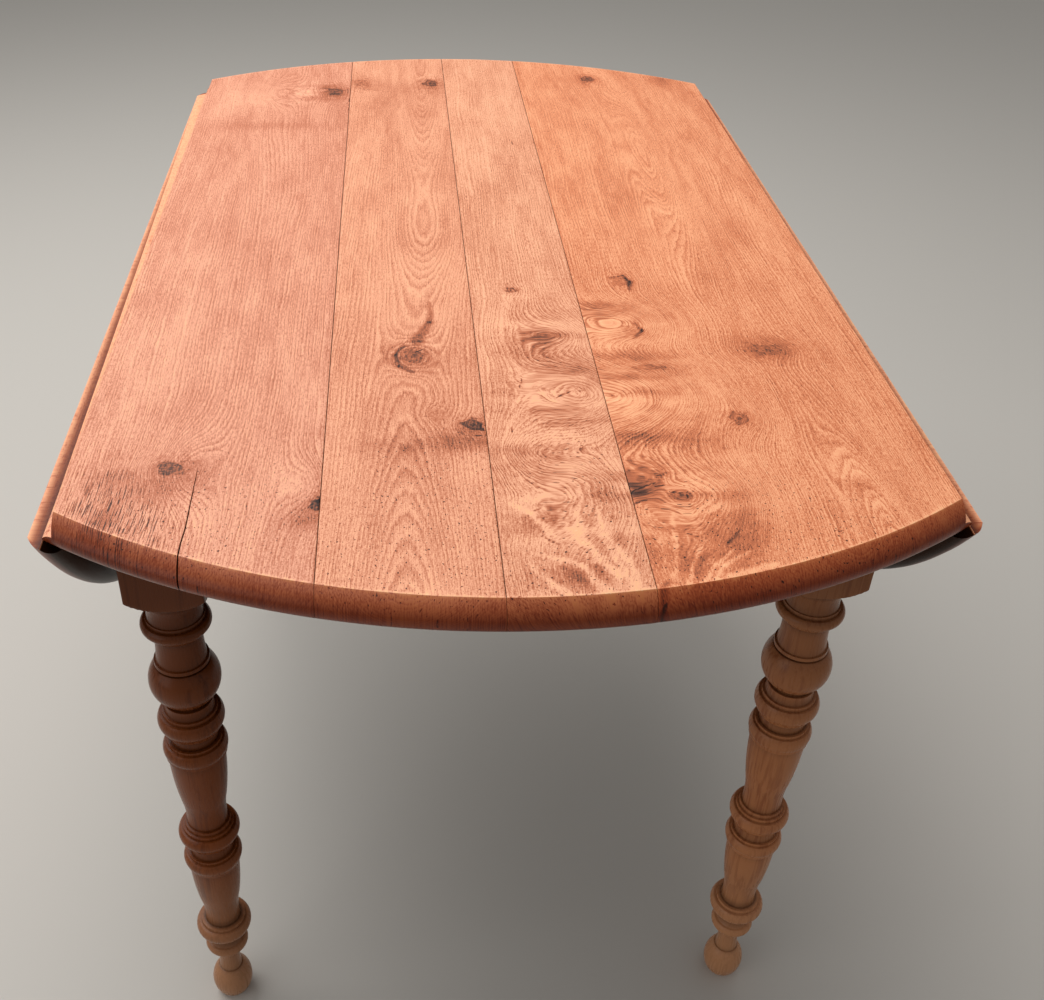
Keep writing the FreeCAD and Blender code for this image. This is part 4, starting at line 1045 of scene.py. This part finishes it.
# the left legs take the shaded copy, the right legs the lit one
legWoods = {"left": waxedWood("waxedDarkCherry", shadedCherry, 2),
            "right": waxedWood("waxedPaleCherry", litCherry, 2)}
for node, piece in legs.items():
    piece.data.materials.append(legWoods[node.split("_")[1]])
acrossWood = waxedWood("waxedCherryAcross", cherry, 0)
alongWood = waxedWood("waxedCherryAlong", cherry, 1)
guideWood = waxedWood("bareOakAcross", oak, 0)
pegWood = waxedWood("oakPegs", pegOak, 2)
iron = oldMetal("blackenedIron", metals["blackenedIron"])
steel = oldMetal("brightSteel", metals["brightSteel"])
# finish by the end of a node's name, of which the last that fits counts
endings = [("apron", acrossWood), ("left_apron", alongWood), ("right_apron", alongWood),
           ("rail", acrossWood), ("loper", guideWood), ("loper_stop", pegWood), ("loper_guide", guideWood),
           ("pegs", pegWood), ("buttons", guideWood), ("plate", iron), ("pin", steel), ("screws", steel)]
for name, piece in frame["nodes"].items():
    if name.endswith(("_board", "_leg")) or name.startswith("top_board"):
        continue
    chosen = [finish for ending, finish in endings if name.endswith(ending)][-1]
    piece.data.materials.clear()
    piece.data.materials.append(chosen)
print("materials given")


# Floor, light and camera

studio = {
    "floor": "#CBC6BE",
    "floorSize": 30.0,
    "floorRoughness": 0.85,
    "sky": "#FFFFFF",
    "skyStrength": 0.30,
    "keyPlace": (-0.8, 0.7, 2.9),
    "keySize": 3.0,
    "keyPower": 80.0,
    "fillPlace": (-2.4, -1.7, 1.3),
    "fillSize": 2.0,
    "fillPower": 11.0,
}
# the photograph's camera, from a fit to the table's outline: place in metres, angles in degrees,
# focal length and principal point in pixels of the 1044 by 1000 frame
view = {
    "place": (-0.0851, -1.1662, 1.2530),
    "yaw": -4.741, "tilt": 36.332, "roll": 2.010,
    "focal": 1212.0, "centreX": 480.0, "width": 1044.0,
    "sensor": 36.0,
}

half = studio["floorSize"] / 2
floorMesh = bpy.data.meshes.new("studioFloor")
floorCorners = [(-half, -half, 0), (half, -half, 0), (half, half, 0), (-half, half, 0)]
floorMesh.from_pydata(floorCorners, [], [(0, 1, 2, 3)])
floor = bpy.data.objects.new("studioFloor", floorMesh)
bpy.context.scene.collection.objects.link(floor)
floorFinish = bpy.data.materials.new("paleFloor")
floorFinish.use_nodes = True
floorShader = floorFinish.node_tree.nodes["Principled BSDF"]
floorShader.inputs["Base Color"].default_value = tint(studio["floor"])
floorShader.inputs["Roughness"].default_value = studio["floorRoughness"]
floorMesh.materials.append(floorFinish)

world = bpy.data.worlds.new("studioWorld")
world.use_nodes = True
sky = world.node_tree.nodes["Background"]
sky.inputs["Color"].default_value = tint(studio["sky"])
sky.inputs["Strength"].default_value = studio["skyStrength"]
bpy.context.scene.world = world

for lamp in ("key", "fill"):
    lampData = bpy.data.lights.new(lamp + "Light", "AREA")
    lampData.shape = "SQUARE"
    lampData.size = studio[lamp + "Size"]
    lampData.energy = studio[lamp + "Power"]
    light = bpy.data.objects.new(lamp + "Light", lampData)
    light.location = studio[lamp + "Place"]
    light.rotation_mode = "QUATERNION"
    light.rotation_quaternion = (Vector((0, 0, topZ)) - light.location).to_track_quat("-Z", "Y")
    bpy.context.scene.collection.objects.link(light)

cameraData = bpy.data.cameras.new("camera")
cameraData.sensor_width = view["sensor"]
cameraData.lens = view["focal"] / view["width"] * view["sensor"]
cameraData.shift_x = 0.5 - view["centreX"] / view["width"]
camera = bpy.data.objects.new("camera", cameraData)
stance = Matrix.Translation(view["place"])
for angle, axis in ((view["yaw"], "Z"), (90 - view["tilt"], "X"), (view["roll"], "Z")):
    stance = stance @ Matrix.Rotation(math.radians(angle), 4, axis)
camera.matrix_world = stance
bpy.context.scene.collection.objects.link(camera)
bpy.context.scene.camera = camera
bpy.context.scene.view_settings.view_transform = "Standard"

print("scene ready")
